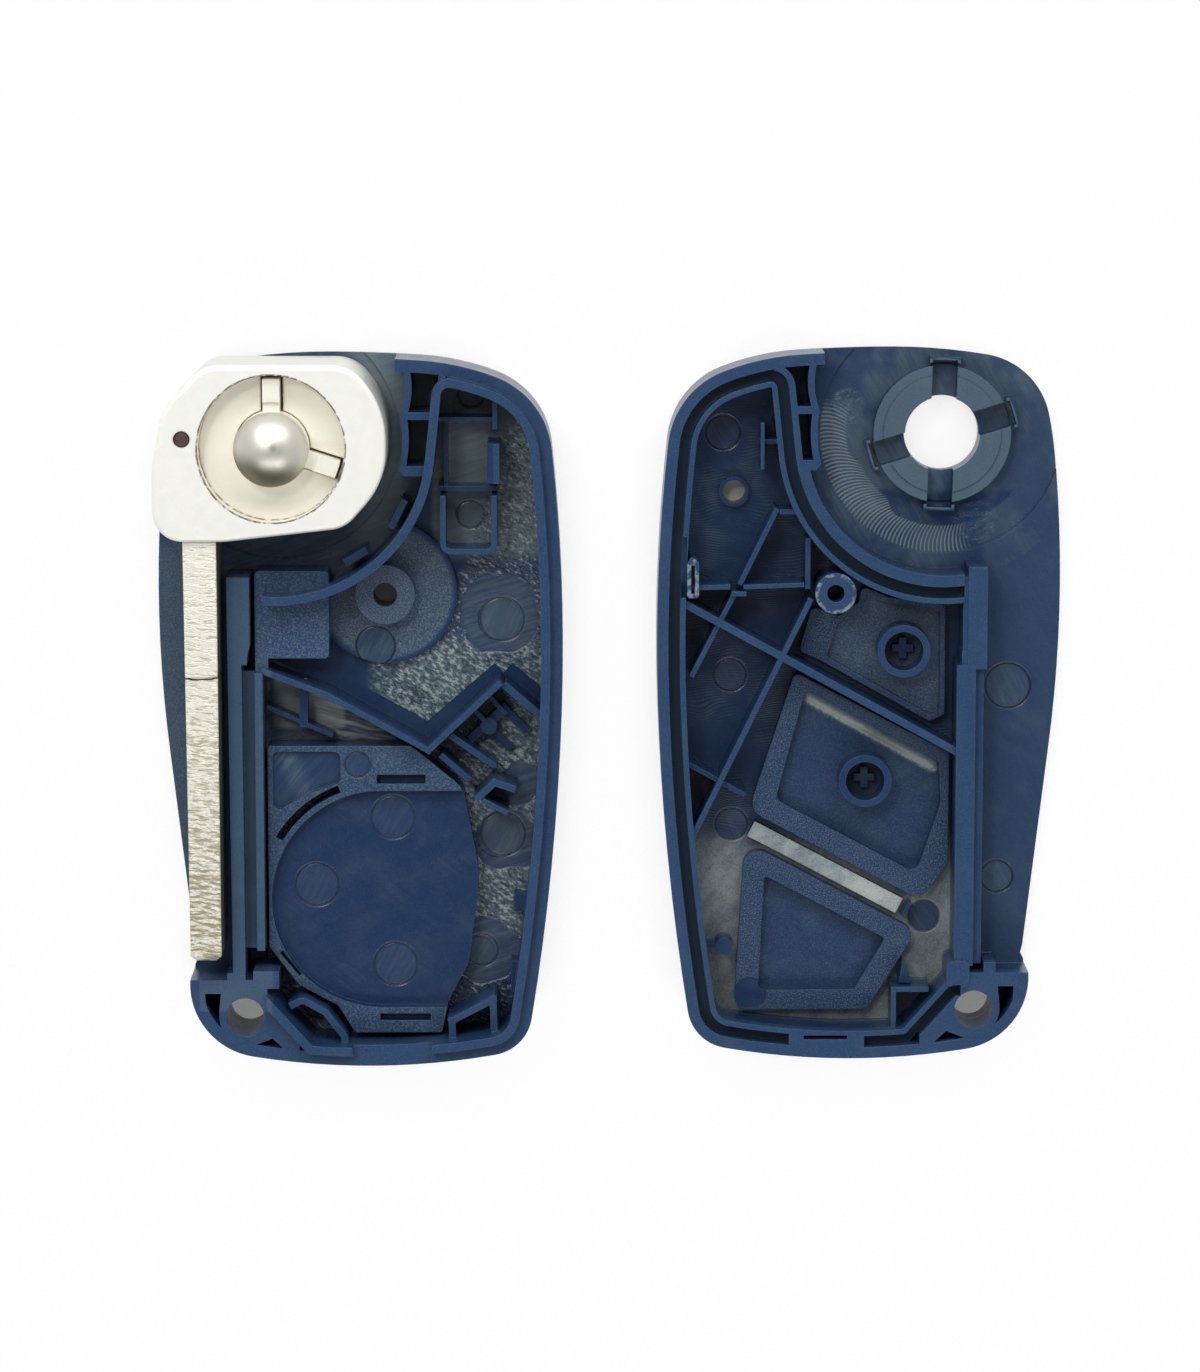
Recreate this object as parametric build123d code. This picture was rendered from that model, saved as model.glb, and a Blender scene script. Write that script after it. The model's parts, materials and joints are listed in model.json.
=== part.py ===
from build123d import *
import os
from math import atan2, cos, degrees, radians, sin

# Key fob shell for a folding car key: two moulded halves laid open side by side, inside up.
# The back half holds the folding key and the battery tray, the front half the button caps.
# Each half is drawn in its own plan, seen from the inside of the back half: the hub axis is
# the origin, U runs to the closed flank, V to the head end, and Z rises from the table.
# The front half is the same plan seen in a mirror, so that both halves share every value.

# Plan of both halves, from the hub axis
RIGHT_REACH = 28.47
TOP_REACH = 8.6
FOOT_REACH = 62.95
OPEN_REACH = 11.45
HUB_SPACING = 66.55
FRONT_SHIFT_V = 0.48

# Section of both halves
FLOOR = 1.4
BACK_RIM = 8.3
FRONT_RIM = 7.3
RIM_BAND = 1.25
EDGE_ROUND = 0.9
TONGUE_WIDE = 0.9
TONGUE_TALL = 1.5
GROOVE_CLEAR = 0.12
GROOVE_DEEP = 1.8
INNER_RIB = 0.55
THIN_RIB = 0.5
MARK_DEEP = 0.18

# Chamber of the key head
CHAMBER_RADIUS = 15.05
CHAMBER_TILT = -6.0
CHAMBER_STEP = 12.2
CHAMBER_WALL = 1.15
STEP_DEEP = 0.25
POCKET_SKIN = 0.65
OPEN_TOP_U = 12.0
LOOP_END_U = -1.2
FRONT_LOOP_END_U = -2.1

# Key ring eye, in the block at the foot of the open side
EYE_U = -3.45
EYE_V = 5.05 - FOOT_REACH
EYE_RADIUS = 1.95
EYE_WALL = 0.65
END_BLOCK_V = 8.85 - FOOT_REACH

# Screw boss, shared by both halves
BOSS_U = 10.75
BOSS_V = -15.55
SCREW_HOLE = 1.2
PILOT_HOLE = 0.87
BACK_BOSS = 3.0
FRONT_BOSS = 2.05

# Hole for the light, in the front half
LIGHT_HOLE = (20.8, -5.9)
LIGHT_RADIUS = 1.15
LIGHT_COLLAR = 0.4

# The bay as its ribs, caps and tray are drawn, beyond the screw boss: they spread with the
# shell when its reaches change
BAY_WIDE = 17.72
BAY_LONG = 47.4

# Hub, from the axis outwards
BUTTON_RADIUS = 3.67
SLIDE_FIT = 0.09
HUB_RING = 4.6
HUB_RING_WALL = 0.7
HUB_RING_TALL = 2.0
TURN_FIT = 0.08
WELL_RADIUS = 7.25
WELL_DEEP = 2.6
WEB_LOW = 8.0
FRONT_RING = 6.9
FRONT_RING_STEP = 5.9
STEP_TALL = 0.15
FRONT_SLOT_WIDE = 2.5
FRONT_SLOT_REACH = 7.4
SLOT_LIP = 0.3
LUG_WIDE = 1.7
LUG_CLEAR = 0.25
LUG_REACH = 6.85
LUG_ANGLES = (90.0, -18.0)
FRONT_SLOT_ANGLES = (92.0, 163.0, 272.0, -17.0)

# Folding key
HEAD_LOW = 1.5
HEAD_TALL = 12.0
HEAD_RADIUS = 11.25
HEAD_TOP_FLAT = 8.2
HEAD_FOOT_FLAT = 9.15
LOBE_REACH = 11.75
BLADE_THICK = 3.2
BLADE_TALL = 8.5
BLADE_LOW = 4.05
BLADE_U = -7.15
BLADE_END_V = END_BLOCK_V + 2.8
NOTCH_V = -22.9
TANG_THICK = 2.6
TANG_TALL = 5.8
TANG_TOP_V = 4.0
TANG_FIT = 0.05
PIN_RADIUS = 0.8
PIN_U = -8.75
PIN_V = 0.98
PIN_LOW = HEAD_LOW + 0.4
PIN_SINK = 0.1
PIN_FIT = 0.02

# Release button and its spring
BUTTON_LOW = 4.6
BUTTON_TOP = 16.0
DOME_TALL = 2.0
BUTTON_WALL = 0.8
LUG_LOW = 8.6
LUG_TOP = 12.7
BUTTON_TRAVEL = 2.0
SPRING_WIRE = 0.6
SPRING_TURNS = 4
SPRING_CLEAR = 0.1
SPOOL_RADIUS = 1.5
SPOOL_TALL = 2.6
WIRE_SIDES = 6

# Battery tray
TRAY_TALL = 4.0
TRAY_PLATE = 1.2
DISH_DEEP = 1.3
DISH_RADIUS = 11.1
DISH_U = 10.3
DISH_V = -46.4
TRAY_LIP = 0.55
TRAY_SLIT = 0.8

# Button caps
CAP_FACE = 0.2
CAP_CLEAR = 0.25
CAP_LEDGE = 1.1
CAP_LIFT = 0.1
FLANGE_THICK = 1.5
CAP_SLOPE = 1.2
POST_OUTER = 2.65
POST_INNER = 1.95
POST_TALL = 3.4
POST_CROSS = 0.75
POST_CROSS_REACH = 1.05
POST_CROSS_TALL = 0.9


def disc(u, v, radius, low, high):
    return Pos(u, v, low) * extrude(Circle(radius), high - low)


def rounded_face(corners, radii):
    return make_face(FilletPolyline(*corners, radius=radii, close=True))


def slab(corners, radii, low, high):
    """A plate with the given plan corners, each rounded by its own radius."""
    return Pos(0, 0, low) * extrude(rounded_face(corners, radii), high - low)


def raised(face, low, high):
    return Pos(0, 0, low) * extrude(face, high - low)


def block(left, right, bottom, top, low, high):
    box = Box(right - left, top - bottom, high - low, align=(Align.MIN, Align.MIN, Align.MIN))
    return Pos(left, bottom, low) * box


def spot(u, v):
    """A place in the bay, as drawn, moved to where the shell's reaches put it."""
    if u > BOSS_U:
        u = BOSS_U + (u - BOSS_U) * (RIGHT_REACH - BOSS_U) / BAY_WIDE
    if v < BOSS_V:
        v = BOSS_V + (v - BOSS_V) * (FOOT_REACH + BOSS_V) / BAY_LONG
    return u, v


def spots(places):
    return [spot(u, v) for u, v in places]


def rib(stops, width, low, high):
    """An upright wall that follows straight runs between its stops."""
    walls = []
    stops = spots(stops)
    for start, end in zip(stops, stops[1:]):
        run = Vector(*end) - Vector(*start)
        middle = (Vector(*end) + Vector(*start)) * 0.5
        turn = degrees(atan2(run.Y, run.X))
        beam = raised(Rectangle(run.length + width, width), low, high)
        walls.append(Pos(middle.X, middle.Y, 0) * Rot(0, 0, turn) * beam)
    return walls


def bent_rib(stops, bend, width, low, high):
    """An upright wall through the stops, rounded at each bend."""
    return raised(trace(FilletPolyline(*spots(stops), radius=bend), width), low, high)


def tangent_run(start, heading, stops):
    """Arcs through the stops, each one leaving along the end of the one before."""
    arcs = []
    for stop in stops:
        arc = TangentArc(start, stop, tangent=heading)
        heading = arc % 1
        start = stop
        arcs.append(arc)
    return arcs


def inset(face, amount):
    return offset(face, -amount)


def shell_plan():
    """The outline that both halves share, as one face."""
    crown = (5.0, TOP_REACH)
    flank = [
        (14.4, TOP_REACH - 0.3),
        (RIGHT_REACH - 6.45, TOP_REACH - 1.97),
        (RIGHT_REACH - 0.97, TOP_REACH - 9.1),
        (RIGHT_REACH, -26.7),
        (RIGHT_REACH - 3.07, 4.85 - FOOT_REACH),
        (RIGHT_REACH - 6.72, 1.15 - FOOT_REACH),
        (-2.7, 1.0 - FOOT_REACH),
        (-8.9, END_BLOCK_V + 0.3),
    ]
    open_side = [
        (-4.6, TOP_REACH - 0.8),
        (0.6 - OPEN_REACH, TOP_REACH - 6.75),
        (-OPEN_REACH, -1.9),
        (0.3 - OPEN_REACH, -32.3),
    ]
    right = tangent_run(crown, (1, 0), flank)
    left = tangent_run(crown, (-1, 0), open_side)
    notch = [(-8.8, END_BLOCK_V + 1.7), (-8.6, END_BLOCK_V + 0.9)]
    foot = Polyline(open_side[-1], *notch, flank[-1])
    return make_face([*right, *left, *foot.edges()])


def chamber_plan():
    """The space that the head turns in: a disc with a straight side up to the top edge."""
    tilt = radians(CHAMBER_TILT)
    foot = Vector(CHAMBER_RADIUS * cos(tilt), CHAMBER_RADIUS * sin(tilt))
    top = foot + Vector(-sin(tilt), cos(tilt)) * (TOP_REACH + 8)
    side = Polyline((0, 0), (foot.X, foot.Y), (top.X, top.Y), (0, top.Y), close=True)
    return Circle(CHAMBER_RADIUS) + make_face(side)


def bay_plan():
    """The closed space beside the chamber and the blade, where the electronics would sit."""
    open_left = Pos(LOOP_END_U - 13, -30) * Rectangle(20, 90)
    top, foot = 6.6 - FOOT_REACH, -0.95 - FOOT_REACH
    foot_cut = Polyline((-20, top), (-1.55, top), (5.2, foot), (-1, foot - 11), close=True)
    bay = inset(shell_plan(), RIM_BAND) - chamber_plan() - make_face(foot_cut) - open_left
    shoulder = bay.vertices().sort_by_distance((16.2, TOP_REACH - RIM_BAND, 0))[0]
    return fillet(shoulder, 1.7)


def beside_blade(end=LOOP_END_U):
    return Pos(end - 10, -30) * Rectangle(20, 90)


def edge_band(outer, inner, end=LOOP_END_U):
    """A band along the bay's edge, from outer to inner, which stops at the blade's side."""
    bay = bay_plan()
    return offset(bay, outer) - offset(bay, inner) - beside_blade(end)


def shell_tub(rim, band):
    """The floor with its rim band, rounded where the outside meets the table."""
    tub = extrude(shell_plan(), rim)
    tub = fillet(tub.edges().group_by(Axis.Z)[0], EDGE_ROUND)
    open_side = Pos(OPEN_TOP_U - 25, 0) * Rectangle(50, -2 * END_BLOCK_V)
    return tub - raised(inset(shell_plan(), band) + open_side, FLOOR, rim + 1)


def chamber_wall(rim, clear, skin):
    """The slotted wall between the chamber and the bay, where the folded head parks."""
    top = TOP_REACH + 1
    upper = ThreePointArc((11.9, top), (13.0, 6.0), (12.5, 2.8))
    lower = ThreePointArc((12.5, 2.8), (12.7, 0.6), (12.3, -2.6))
    rest = Polyline((12.3, -2.6), (12.8, -3.2), (15.3, -3.2), (17.5, top), (11.9, top))
    profile = make_face([upper, lower, *rest.edges()]) & shell_plan()
    pockets = Pos(15, 5.6) * Rectangle(6, 4.9) + Pos(15, 0.1) * Rectangle(6, 4.6)
    pockets &= inset(profile, POCKET_SKIN) - offset(bay_plan(), clear + skin)
    return raised(profile - offset(bay_plan(), clear) - pockets, FLOOR, rim)


def end_block(rim, clear):
    """The foot of the blade's side, with the key ring eye between two moulded pockets."""
    corner = Pos(-8, END_BLOCK_V - 10) * Rectangle(20, 20)
    side_pocket = [(-4.0, 2.4), (-2.4, 2.4), (-2.6, 0.5), (-1.9, -1.9), (-3.0, -1.2), (-3.9, 0.5)]
    foot_pocket = [(-0.55, -3.3), (4.25, -3.6), (2.75, -2.2), (0.45, -3.1)]
    region = shell_plan() & corner
    region -= offset(bay_plan(), clear) - beside_blade()
    for pocket in (side_pocket, foot_pocket):
        region -= Pos(EYE_U, EYE_V) * make_face(Polyline(*pocket, close=True))
    return [raised(region, FLOOR, rim), disc(EYE_U, EYE_V, EYE_RADIUS + EYE_WALL, FLOOR, rim)]


def eye_hole(rim):
    return disc(EYE_U, EYE_V, EYE_RADIUS, -1, rim + TONGUE_TALL + 1)


def pin_marks(marks, top):
    """Shallow round marks that the mould's ejector pins leave."""
    return [disc(*spot(u, v), radius, top - MARK_DEEP, top + MARK_DEEP) for u, v, radius in marks]


def chamber_recess():
    """The step that the cutter leaves in the chamber's floor."""
    return disc(0, 0, CHAMBER_STEP, FLOOR - STEP_DEEP, FLOOR + STEP_DEEP)


def back_channel():
    """The long bars beside the folded blade, and the block at their head end."""
    end = END_BLOCK_V
    bar = Polyline(
        (-4.9, -13.3), (-2.6, -13.3), (-2.6, -20.0), (-2.9, -21.5), (-2.9, -22.1),
        (-3.45, -22.1), (-3.35, end - 1.1), (-4.6, end - 1.1), close=True,
    )
    wall = raised(make_face(bar), FLOOR, BACK_RIM)
    groove = block(-3.45, -1.4, end + 2.9, -23.0, FLOOR, BACK_RIM - 2.2)
    second = block(-2.2, -1.4, end + 2.9, -23.0, FLOOR, BACK_RIM - 0.6)
    head_corners = [(-2.2, -12.9), (5.2, -12.9), (5.2, -21.7), (-2.2, -21.7)]
    head_block = slab(head_corners, 0.5, FLOOR, BACK_RIM - 2.0)
    link = block(-2.2, -0.9, -23.2, -21.0, FLOOR, BACK_RIM - 2.0)
    stub = block(-5.2, -4.5, end - 0.9, end + 0.7, FLOOR, BACK_RIM)
    foot = block(-2.6, 0.0, end - 0.9, end + 0.9, FLOOR, BACK_RIM)
    return [wall, groove, second, head_block, link, stub, foot]


def back_ribs():
    """The bay's dividing ribs and clips."""
    walls = []
    walls += rib([(-1.3, -22.9), (5.0, -25.3), (15.1, -30.9), (22.2, -24.2)], 0.6, FLOOR, 7.2)
    walls += rib([(-1.0, -27.0), (5.2, -29.8)], 0.4, FLOOR, 4.2)
    walls += rib([(2.5, -24.4), (2.5, -28.6)], 0.8, FLOOR, 4.2)
    walls += rib([(16.5, -31.8), (19.0, -34.0)], 0.6, FLOOR, 5.6)
    walls += rib([(17.5, -29.8), (21.5, -32.6)], 0.6, FLOOR, 5.6)
    walls += rib([(22.9, -24.6), (26.3, -27.5)], 0.75, FLOOR, 6.2)
    walls += rib([(20.1, -35.7), (21.7, -34.2), (23.5, -34.8)], 0.7, FLOOR, 7.0)
    walls += rib([(20.7, -36.1), (22.8, -37.2)], THIN_RIB, FLOOR, 7.0)
    box_stops = [(16.65, -5.3), (16.65, -10.9), (21.75, -10.9), (21.75, -5.3)]
    walls.append(bent_rib(box_stops, 0.8, 0.55, FLOOR, 6.8))
    walls += rib([(16.4, 2.2), (21.8, 2.2)], 0.4, FLOOR, 5.4)
    walls += rib([(16.9, 2.0), (16.9, -4.8)], 0.4, FLOOR, 4.2)
    walls += rib([(21.85, 1.5), (21.85, 5.6)], THIN_RIB, FLOOR, 6.2)
    walls += rib([(16.4, -4.8), (21.8, -4.8)], THIN_RIB, FLOOR, 4.6)
    hook_stops = [(1.0, -57.0), (2.3, -56.3), (4.6, -57.6), (6.5, -60.1), (6.6, -61.8)]
    walls.append(bent_rib(hook_stops, 0.9, 0.7, FLOOR, 7.4))
    walls += rib([(17.45, -61.6), (17.35, -58.5), (21.5, -56.3), (21.65, -60.6)], 0.7, FLOOR, 7.4)
    post = block(21.1, 22.3, -4.0, 0.0, FLOOR, BACK_RIM - 0.4)
    inner_edge = post.edges().filter_by(Axis.Y).group_by(Axis.Z)[-1].sort_by(Axis.X)[0]
    walls.append(chamfer(inner_edge, 0.65))
    walls.append(block(10.4, 13.9, 1.05 - FOOT_REACH, 2.05 - FOOT_REACH, FLOOR, 3.4))
    return walls + catch_ribs()


def catch_ribs():
    """The low crossed ribs and the pin behind the long rib's upper arm."""
    walls = rib([(19.5, -30.2), (22.6, -27.3)], 0.9, FLOOR, 3.0)
    walls += rib([(19.6, -27.3), (21.2, -29.0)], 0.45, FLOOR, 3.6)
    walls += rib([(21.1, -25.9), (22.7, -27.6)], 0.45, FLOOR, 3.6)
    walls += rib([(21.5, -29.6), (23.1, -31.2)], 0.7, FLOOR, 2.4)
    walls += rib([(23.0, -27.8), (24.7, -29.4)], 0.8, FLOOR, 2.4)
    walls.append(disc(*spot(21.1, -29.0), 0.85, FLOOR, 3.5))
    walls += rib([(24.5, -47.1), (25.3, -47.1)], 1.8, FLOOR, 3.4)
    walls += rib([(24.0, -53.6), (24.0, -55.4)], 1.4, FLOOR, 4.6)
    return walls


def back_hub():
    """The ring that the head turns round, and the spool inside its spring."""
    low = FLOOR - STEP_DEEP
    ring = disc(0, 0, HUB_RING, low, FLOOR + HUB_RING_TALL)
    ring -= disc(0, 0, HUB_RING - HUB_RING_WALL, low, FLOOR + HUB_RING_TALL + 1)
    return [ring, disc(0, 0, SPOOL_RADIUS, low, FLOOR + SPOOL_TALL)]


def back_shell():
    """The back half: tub, tongue, chamber wall, blade channel, ribs and hub."""
    shell = shell_tub(BACK_RIM, RIM_BAND)
    shell -= chamber_recess()
    latch_gap = block(7.4, 15.4, -FOOT_REACH, 3.0 - FOOT_REACH, BACK_RIM, BACK_RIM + TONGUE_TALL + 1)
    shell += raised(edge_band(0, -TONGUE_WIDE), FLOOR, BACK_RIM + TONGUE_TALL) - latch_gap
    shell += chamber_wall(BACK_RIM, 0, 0)
    shell += end_block(BACK_RIM, 0)
    shell += back_channel() + back_ribs() + back_hub()
    shell += rib([(11.6, -8.3), (12.7, -6.1)], 0.7, FLOOR - STEP_DEEP, 6.4)
    shell += rib([(7.2, -11.9), (8.7, -11.0)], 0.8, FLOOR - STEP_DEEP, 6.4)
    plateau = Pos(BOSS_U, BOSS_V) * Circle(7.2) & bay_plan()
    shell += raised(plateau, FLOOR, FLOOR + 0.9)
    shell += disc(BOSS_U, BOSS_V, BACK_BOSS, FLOOR, 4.3)
    shell -= disc(BOSS_U, BOSS_V, SCREW_HOLE, -1, 5.0)
    shell -= eye_hole(BACK_RIM)
    floor_marks = [
        (22.0, -40.6, 2.25), (20.0, -52.6, 1.65), (22.2, -18.4, 2.2), (19.2, -7.8, 1.4), (19.3, 4.3, 1.35),
    ]
    shell -= pin_marks(floor_marks, FLOOR)
    shell -= pin_marks([(9.7, -21.0, 2.0)], FLOOR + 0.9)
    return shell


def tray_outline(shrink):
    corners = [
        (-1.1, -30.7), (13.3, -30.7), (18.4, -34.9), (20.2, -44.0), (19.0, -53.2), (16.9, -57.2),
        (16.3, -60.1), (7.5, -60.1), (5.8, -57.3), (1.9, -55.2), (-0.4, -52.2), (-1.1, -51.2),
    ]
    radii = [0.3, 1.5, 2.4, 16.0, 3.0, 0.6, 0.4, 0.6, 0.8, 1.0, 0.5, 0.3]
    return offset(rounded_face(spots(corners), radii), -shrink)


def battery_tray():
    """The clipped-in tray: a thin top on a skirt, with the coin cell's dish in it."""
    top = FLOOR + TRAY_TALL
    dish_floor = top - DISH_DEEP
    tray = raised(tray_outline(0), FLOOR, top)
    tray -= raised(tray_outline(TRAY_PLATE), FLOOR, dish_floor - TRAY_PLATE)
    dish_u, dish_v = spot(DISH_U, DISH_V)
    dish = Pos(dish_u, dish_v) * Circle(DISH_RADIUS)
    dish += Pos(dish_u + DISH_RADIUS, dish_v) * Rectangle(2 * DISH_RADIUS, 2 * DISH_RADIUS)
    tray -= raised(dish, dish_floor, top + 1)
    lip = DISH_RADIUS + TRAY_LIP
    crescent = Circle(lip + TRAY_SLIT) - Circle(lip)
    crescent &= make_face(Polyline((0, 0), (-7.5, 20), (-20, 12), close=True))
    tray -= Pos(dish_u, dish_v) * raised(crescent, FLOOR, top + 1)
    recess = [(-0.6, -31.3), (6.2, -31.3), (6.2, -34.5), (2.6, -35.7), (0.1, -37.2), (-0.6, -36.8)]
    tray -= slab(recess, [0.5, 0.7, 0.7, 0.5, 0.3, 0.2], top - 0.6, top + 1)
    tray -= rib([(10.3, -34.1), (14.3, -34.1)], 0.9, dish_floor, top + 1)
    tray -= rib([(10.4, -58.5), (14.8, -58.5)], 0.7, dish_floor, top + 1)
    tray -= rib([(0.2, -51.9), (1.9, -54.0)], 0.35, dish_floor, top + 1)
    tray -= pin_marks([(11.4, -38.2, 2.2), (3.7, -45.1, 2.2), (11.6, -53.3, 2.2)], dish_floor)
    tray -= pin_marks([(7.9, -32.6, 1.3)], top)
    return tray


# Each cap: corners and radii of its flange, corners and radii of its recess, how deep the
# recess goes, and where its hollow post stands
CAPS = {
    "button_cap_top": (
        [(-0.5, -17.3), (5.2, -16.5), (8.0, -15.3), (8.2, -17.0), (10.2, -18.4), (12.9, -17.4),
         (14.2, -21.9), (12.0, -22.9), (1.0, -29.1), (-0.5, -28.4)],
        [0.4, 1.0, 0.6, 0.4, 0.6, 0.6, 0.6, 0.4, 0.6, 0.4],
        [(0.0, -17.9), (5.2, -17.1), (7.5, -16.3), (7.8, -17.3), (10.4, -19.2), (11.4, -22.5),
         (1.0, -28.4), (0.0, -28.0)],
        [0.4, 0.6, 0.3, 0.3, 0.4, 0.3, 0.4, 0.3],
        0.7,
        (3.8, -21.6),
    ),
    "button_cap_middle": (
        [(-1.0, -32.3), (14.6, -24.1), (19.2, -38.2), (1.7, -47.45), (-1.0, -43.7)],
        [0.5, 0.6, 1.8, 1.6, 1.6],
        [(0.0, -33.2), (13.5, -25.7), (16.5, -37.1), (2.2, -44.7), (-0.2, -37.5)],
        [0.5, 0.6, 0.9, 1.0, 2.0],
        1.4,
        (7.55, -34.9),
    ),
    "button_cap_bottom": (
        [(19.6, -41.4), (20.65, -58.8), (7.1, -58.75), (2.1, -50.7)],
        [1.6, 1.3, 1.2, 1.3],
        [(17.6, -44.9), (18.2, -56.75), (8.4, -56.65), (5.3, -51.4)],
        [0.3, 0.7, 0.4, 0.4],
        1.4,
        None,
    ),
}


def cap_window(flange, radii):
    return raised(inset(rounded_face(spots(flange), radii), CAP_LEDGE - CAP_CLEAR), -1, FLOOR + 1)


def recess_slope(start, end, floor, top):
    """A slope along one side of a recess, from its floor up to the flange."""
    start, end = Vector(*start, floor), Vector(*end, floor)
    across = Plane(origin=start, x_dir=(end - start).cross(Vector(0, 0, 1)), z_dir=end - start)
    wide = CAP_SLOPE
    profile = across * make_face(Polyline((0, 0), (wide, 0), (0, floor - top), close=True))
    return extrude(profile, (end - start).length)


def flange_top():
    return FLOOR + CAP_LIFT + FLANGE_THICK


def button_cap(flange, radii, recess, recess_radii, deep, post):
    """A cap laid on its face: a flange inside the shell, and a face that fills its window."""
    flange_low = FLOOR + CAP_LIFT
    floor = flange_top() - deep
    outline = rounded_face(spots(flange), radii)
    cap = raised(outline, flange_low, flange_top())
    cap += raised(inset(outline, CAP_LEDGE), CAP_FACE, flange_low)
    cap -= slab(spots(recess), recess_radii, floor, flange_top() + 1)
    if post is None:
        return cap
    post = spot(*post)
    cap += disc(*post, POST_OUTER, floor - 0.1, floor + POST_TALL)
    cap -= disc(*post, POST_INNER, floor, floor + POST_TALL + 1)
    arm = Rectangle(2 * POST_CROSS_REACH, POST_CROSS)
    cross = arm + Rot(0, 0, 90) * arm
    return cap + Pos(*post, 0) * raised(cross, floor, floor + POST_CROSS_TALL)


def button_caps():
    """The three caps, with the slope of the middle one and the ejector mark of the bottom one."""
    caps = {name: button_cap(*spec) for name, spec in CAPS.items()}
    _, _, recess, _, deep, _ = CAPS["button_cap_middle"]
    caps["button_cap_middle"] += recess_slope(*spots(recess[:2]), flange_top() - deep, flange_top())
    caps["button_cap_bottom"] -= pin_marks([(19.0, -57.1, 1.65)], flange_top())
    return caps


def front_channel():
    """The bars that close the blade's channel from the front, and their end post."""
    end = END_BLOCK_V
    wide = block(-4.4, -2.5, -23.2, -12.9, FLOOR, FRONT_RIM)
    thin = block(-2.6, -2.0, -21.9, -13.9, FLOOR, FRONT_RIM - 0.3)
    catch = block(-3.0, -1.9, -23.2, -21.4, FLOOR, FRONT_RIM - 0.2)
    bar = block(-3.3, -1.4, end + 0.7, -22.8, FLOOR, FRONT_RIM)
    ledge = block(-4.2, -3.2, end + 0.7, -22.8, FLOOR, FRONT_RIM - 1.2)
    stub = block(-5.6, -4.4, end - 0.6, end + 1.1, FLOOR, FRONT_RIM)
    post = Pos(-1.8, end - 0.1, FLOOR) * extrude(RectangleRounded(2.3, 2.7, 0.6), FRONT_RIM + 0.3 - FLOOR)
    return [wide, thin, catch, bar, ledge, stub, post]


def front_ribs():
    """The ribs that cross the front half between the caps and round them."""
    walls = []
    walls += rib([(25.0, -15.1), (21.5, -15.0)], THIN_RIB, FLOOR, 6.4)
    walls += rib([(19.7, -15.0), (14.1, -14.8)], 0.45, FLOOR, 6.4)
    walls += rib([(19.9, -15.7), (20.9, -15.7)], THIN_RIB, FLOOR, 6.4)
    walls += rib([(16.7, -7.4), (20.2, -14.6)], THIN_RIB, FLOOR, 6.0)
    walls += rib([(14.9, -7.5), (16.1, -7.5)], THIN_RIB, FLOOR, 6.0)
    walls += rib([(21.0, -16.1), (25.0, -23.9)], THIN_RIB, FLOOR, 6.0)
    walls += rib([(25.6, -16.8), (-1.2, -31.5)], 0.75, FLOOR, 6.6)
    walls += rib([(13.5, -10.4), (13.5, -15.0)], THIN_RIB, FLOOR, 6.0)
    walls += rib([(13.3, -16.4), (24.9, -40.2)], 0.55, FLOOR, 6.6)
    walls += rib([(25.6, -32.9), (19.9, -36.1)], THIN_RIB, FLOOR, 5.6)
    walls += rib([(18.1, 1.3), (18.1, -3.0)], 0.35, FLOOR, 6.6)
    walls += rib([(18.1, -0.5), (16.4, -0.5)], 0.45, FLOOR, 5.6)
    walls += rib([(1.3, -56.0), (4.6, -56.0), (4.6, -60.6)], THIN_RIB, FLOOR, 6.4)
    walls += rib([(23.6, -51.9), (22.2, -51.9)], 0.4, FLOOR, 4.0)
    walls += rib([(18.2, -40.6), (4.6, -47.8)], 1.7, FLOOR, 2.3)
    walls += rib([(2.9, -47.9), (3.5, -48.9)], 0.4, FLOOR, 3.4)
    walls.append(slab(spots([(2.7, -55.6), (4.0, -55.6), (3.6, -53.1)]), 0.1, FLOOR, 5.0))
    walls.append(disc(*spot(21.7, -51.9), 0.85, FLOOR, 4.6))
    return walls


def loop_catch():
    """The small slotted loop that stands inside the groove's rib."""
    places = [(24.4, -16.0), (25.6, -16.0), (25.6, -12.6), (25.2, -11.8), (24.4, -12.4)]
    loop = slab(spots(places), 0.3, FLOOR, FRONT_RIM)
    return loop - rib([(25.0, -15.4), (25.0, -12.9)], 0.35, FRONT_RIM - 1.5, FRONT_RIM + 1)[0]


def front_ring():
    """The raised ring round the hub hole, with four slots for the button's lugs."""
    low = FLOOR - STEP_DEEP
    top = FLOOR + HUB_RING_TALL
    ring = disc(0, 0, FRONT_RING, low, top - STEP_TALL) + disc(0, 0, FRONT_RING_STEP, low, top)
    slot = Pos(FRONT_SLOT_REACH / 2, 0) * Rectangle(FRONT_SLOT_REACH, FRONT_SLOT_WIDE)
    lip = Pos(FRONT_SLOT_REACH, 0) * Rectangle(2 * SLOT_LIP, FRONT_SLOT_WIDE + 2 * SLOT_LIP)
    for angle in FRONT_SLOT_ANGLES:
        ring += Rot(0, 0, angle) * raised(lip, low, top - SLOT_LIP)
        ring -= Rot(0, 0, angle) * raised(slot, FLOOR, top + 1)
    return ring


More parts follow.
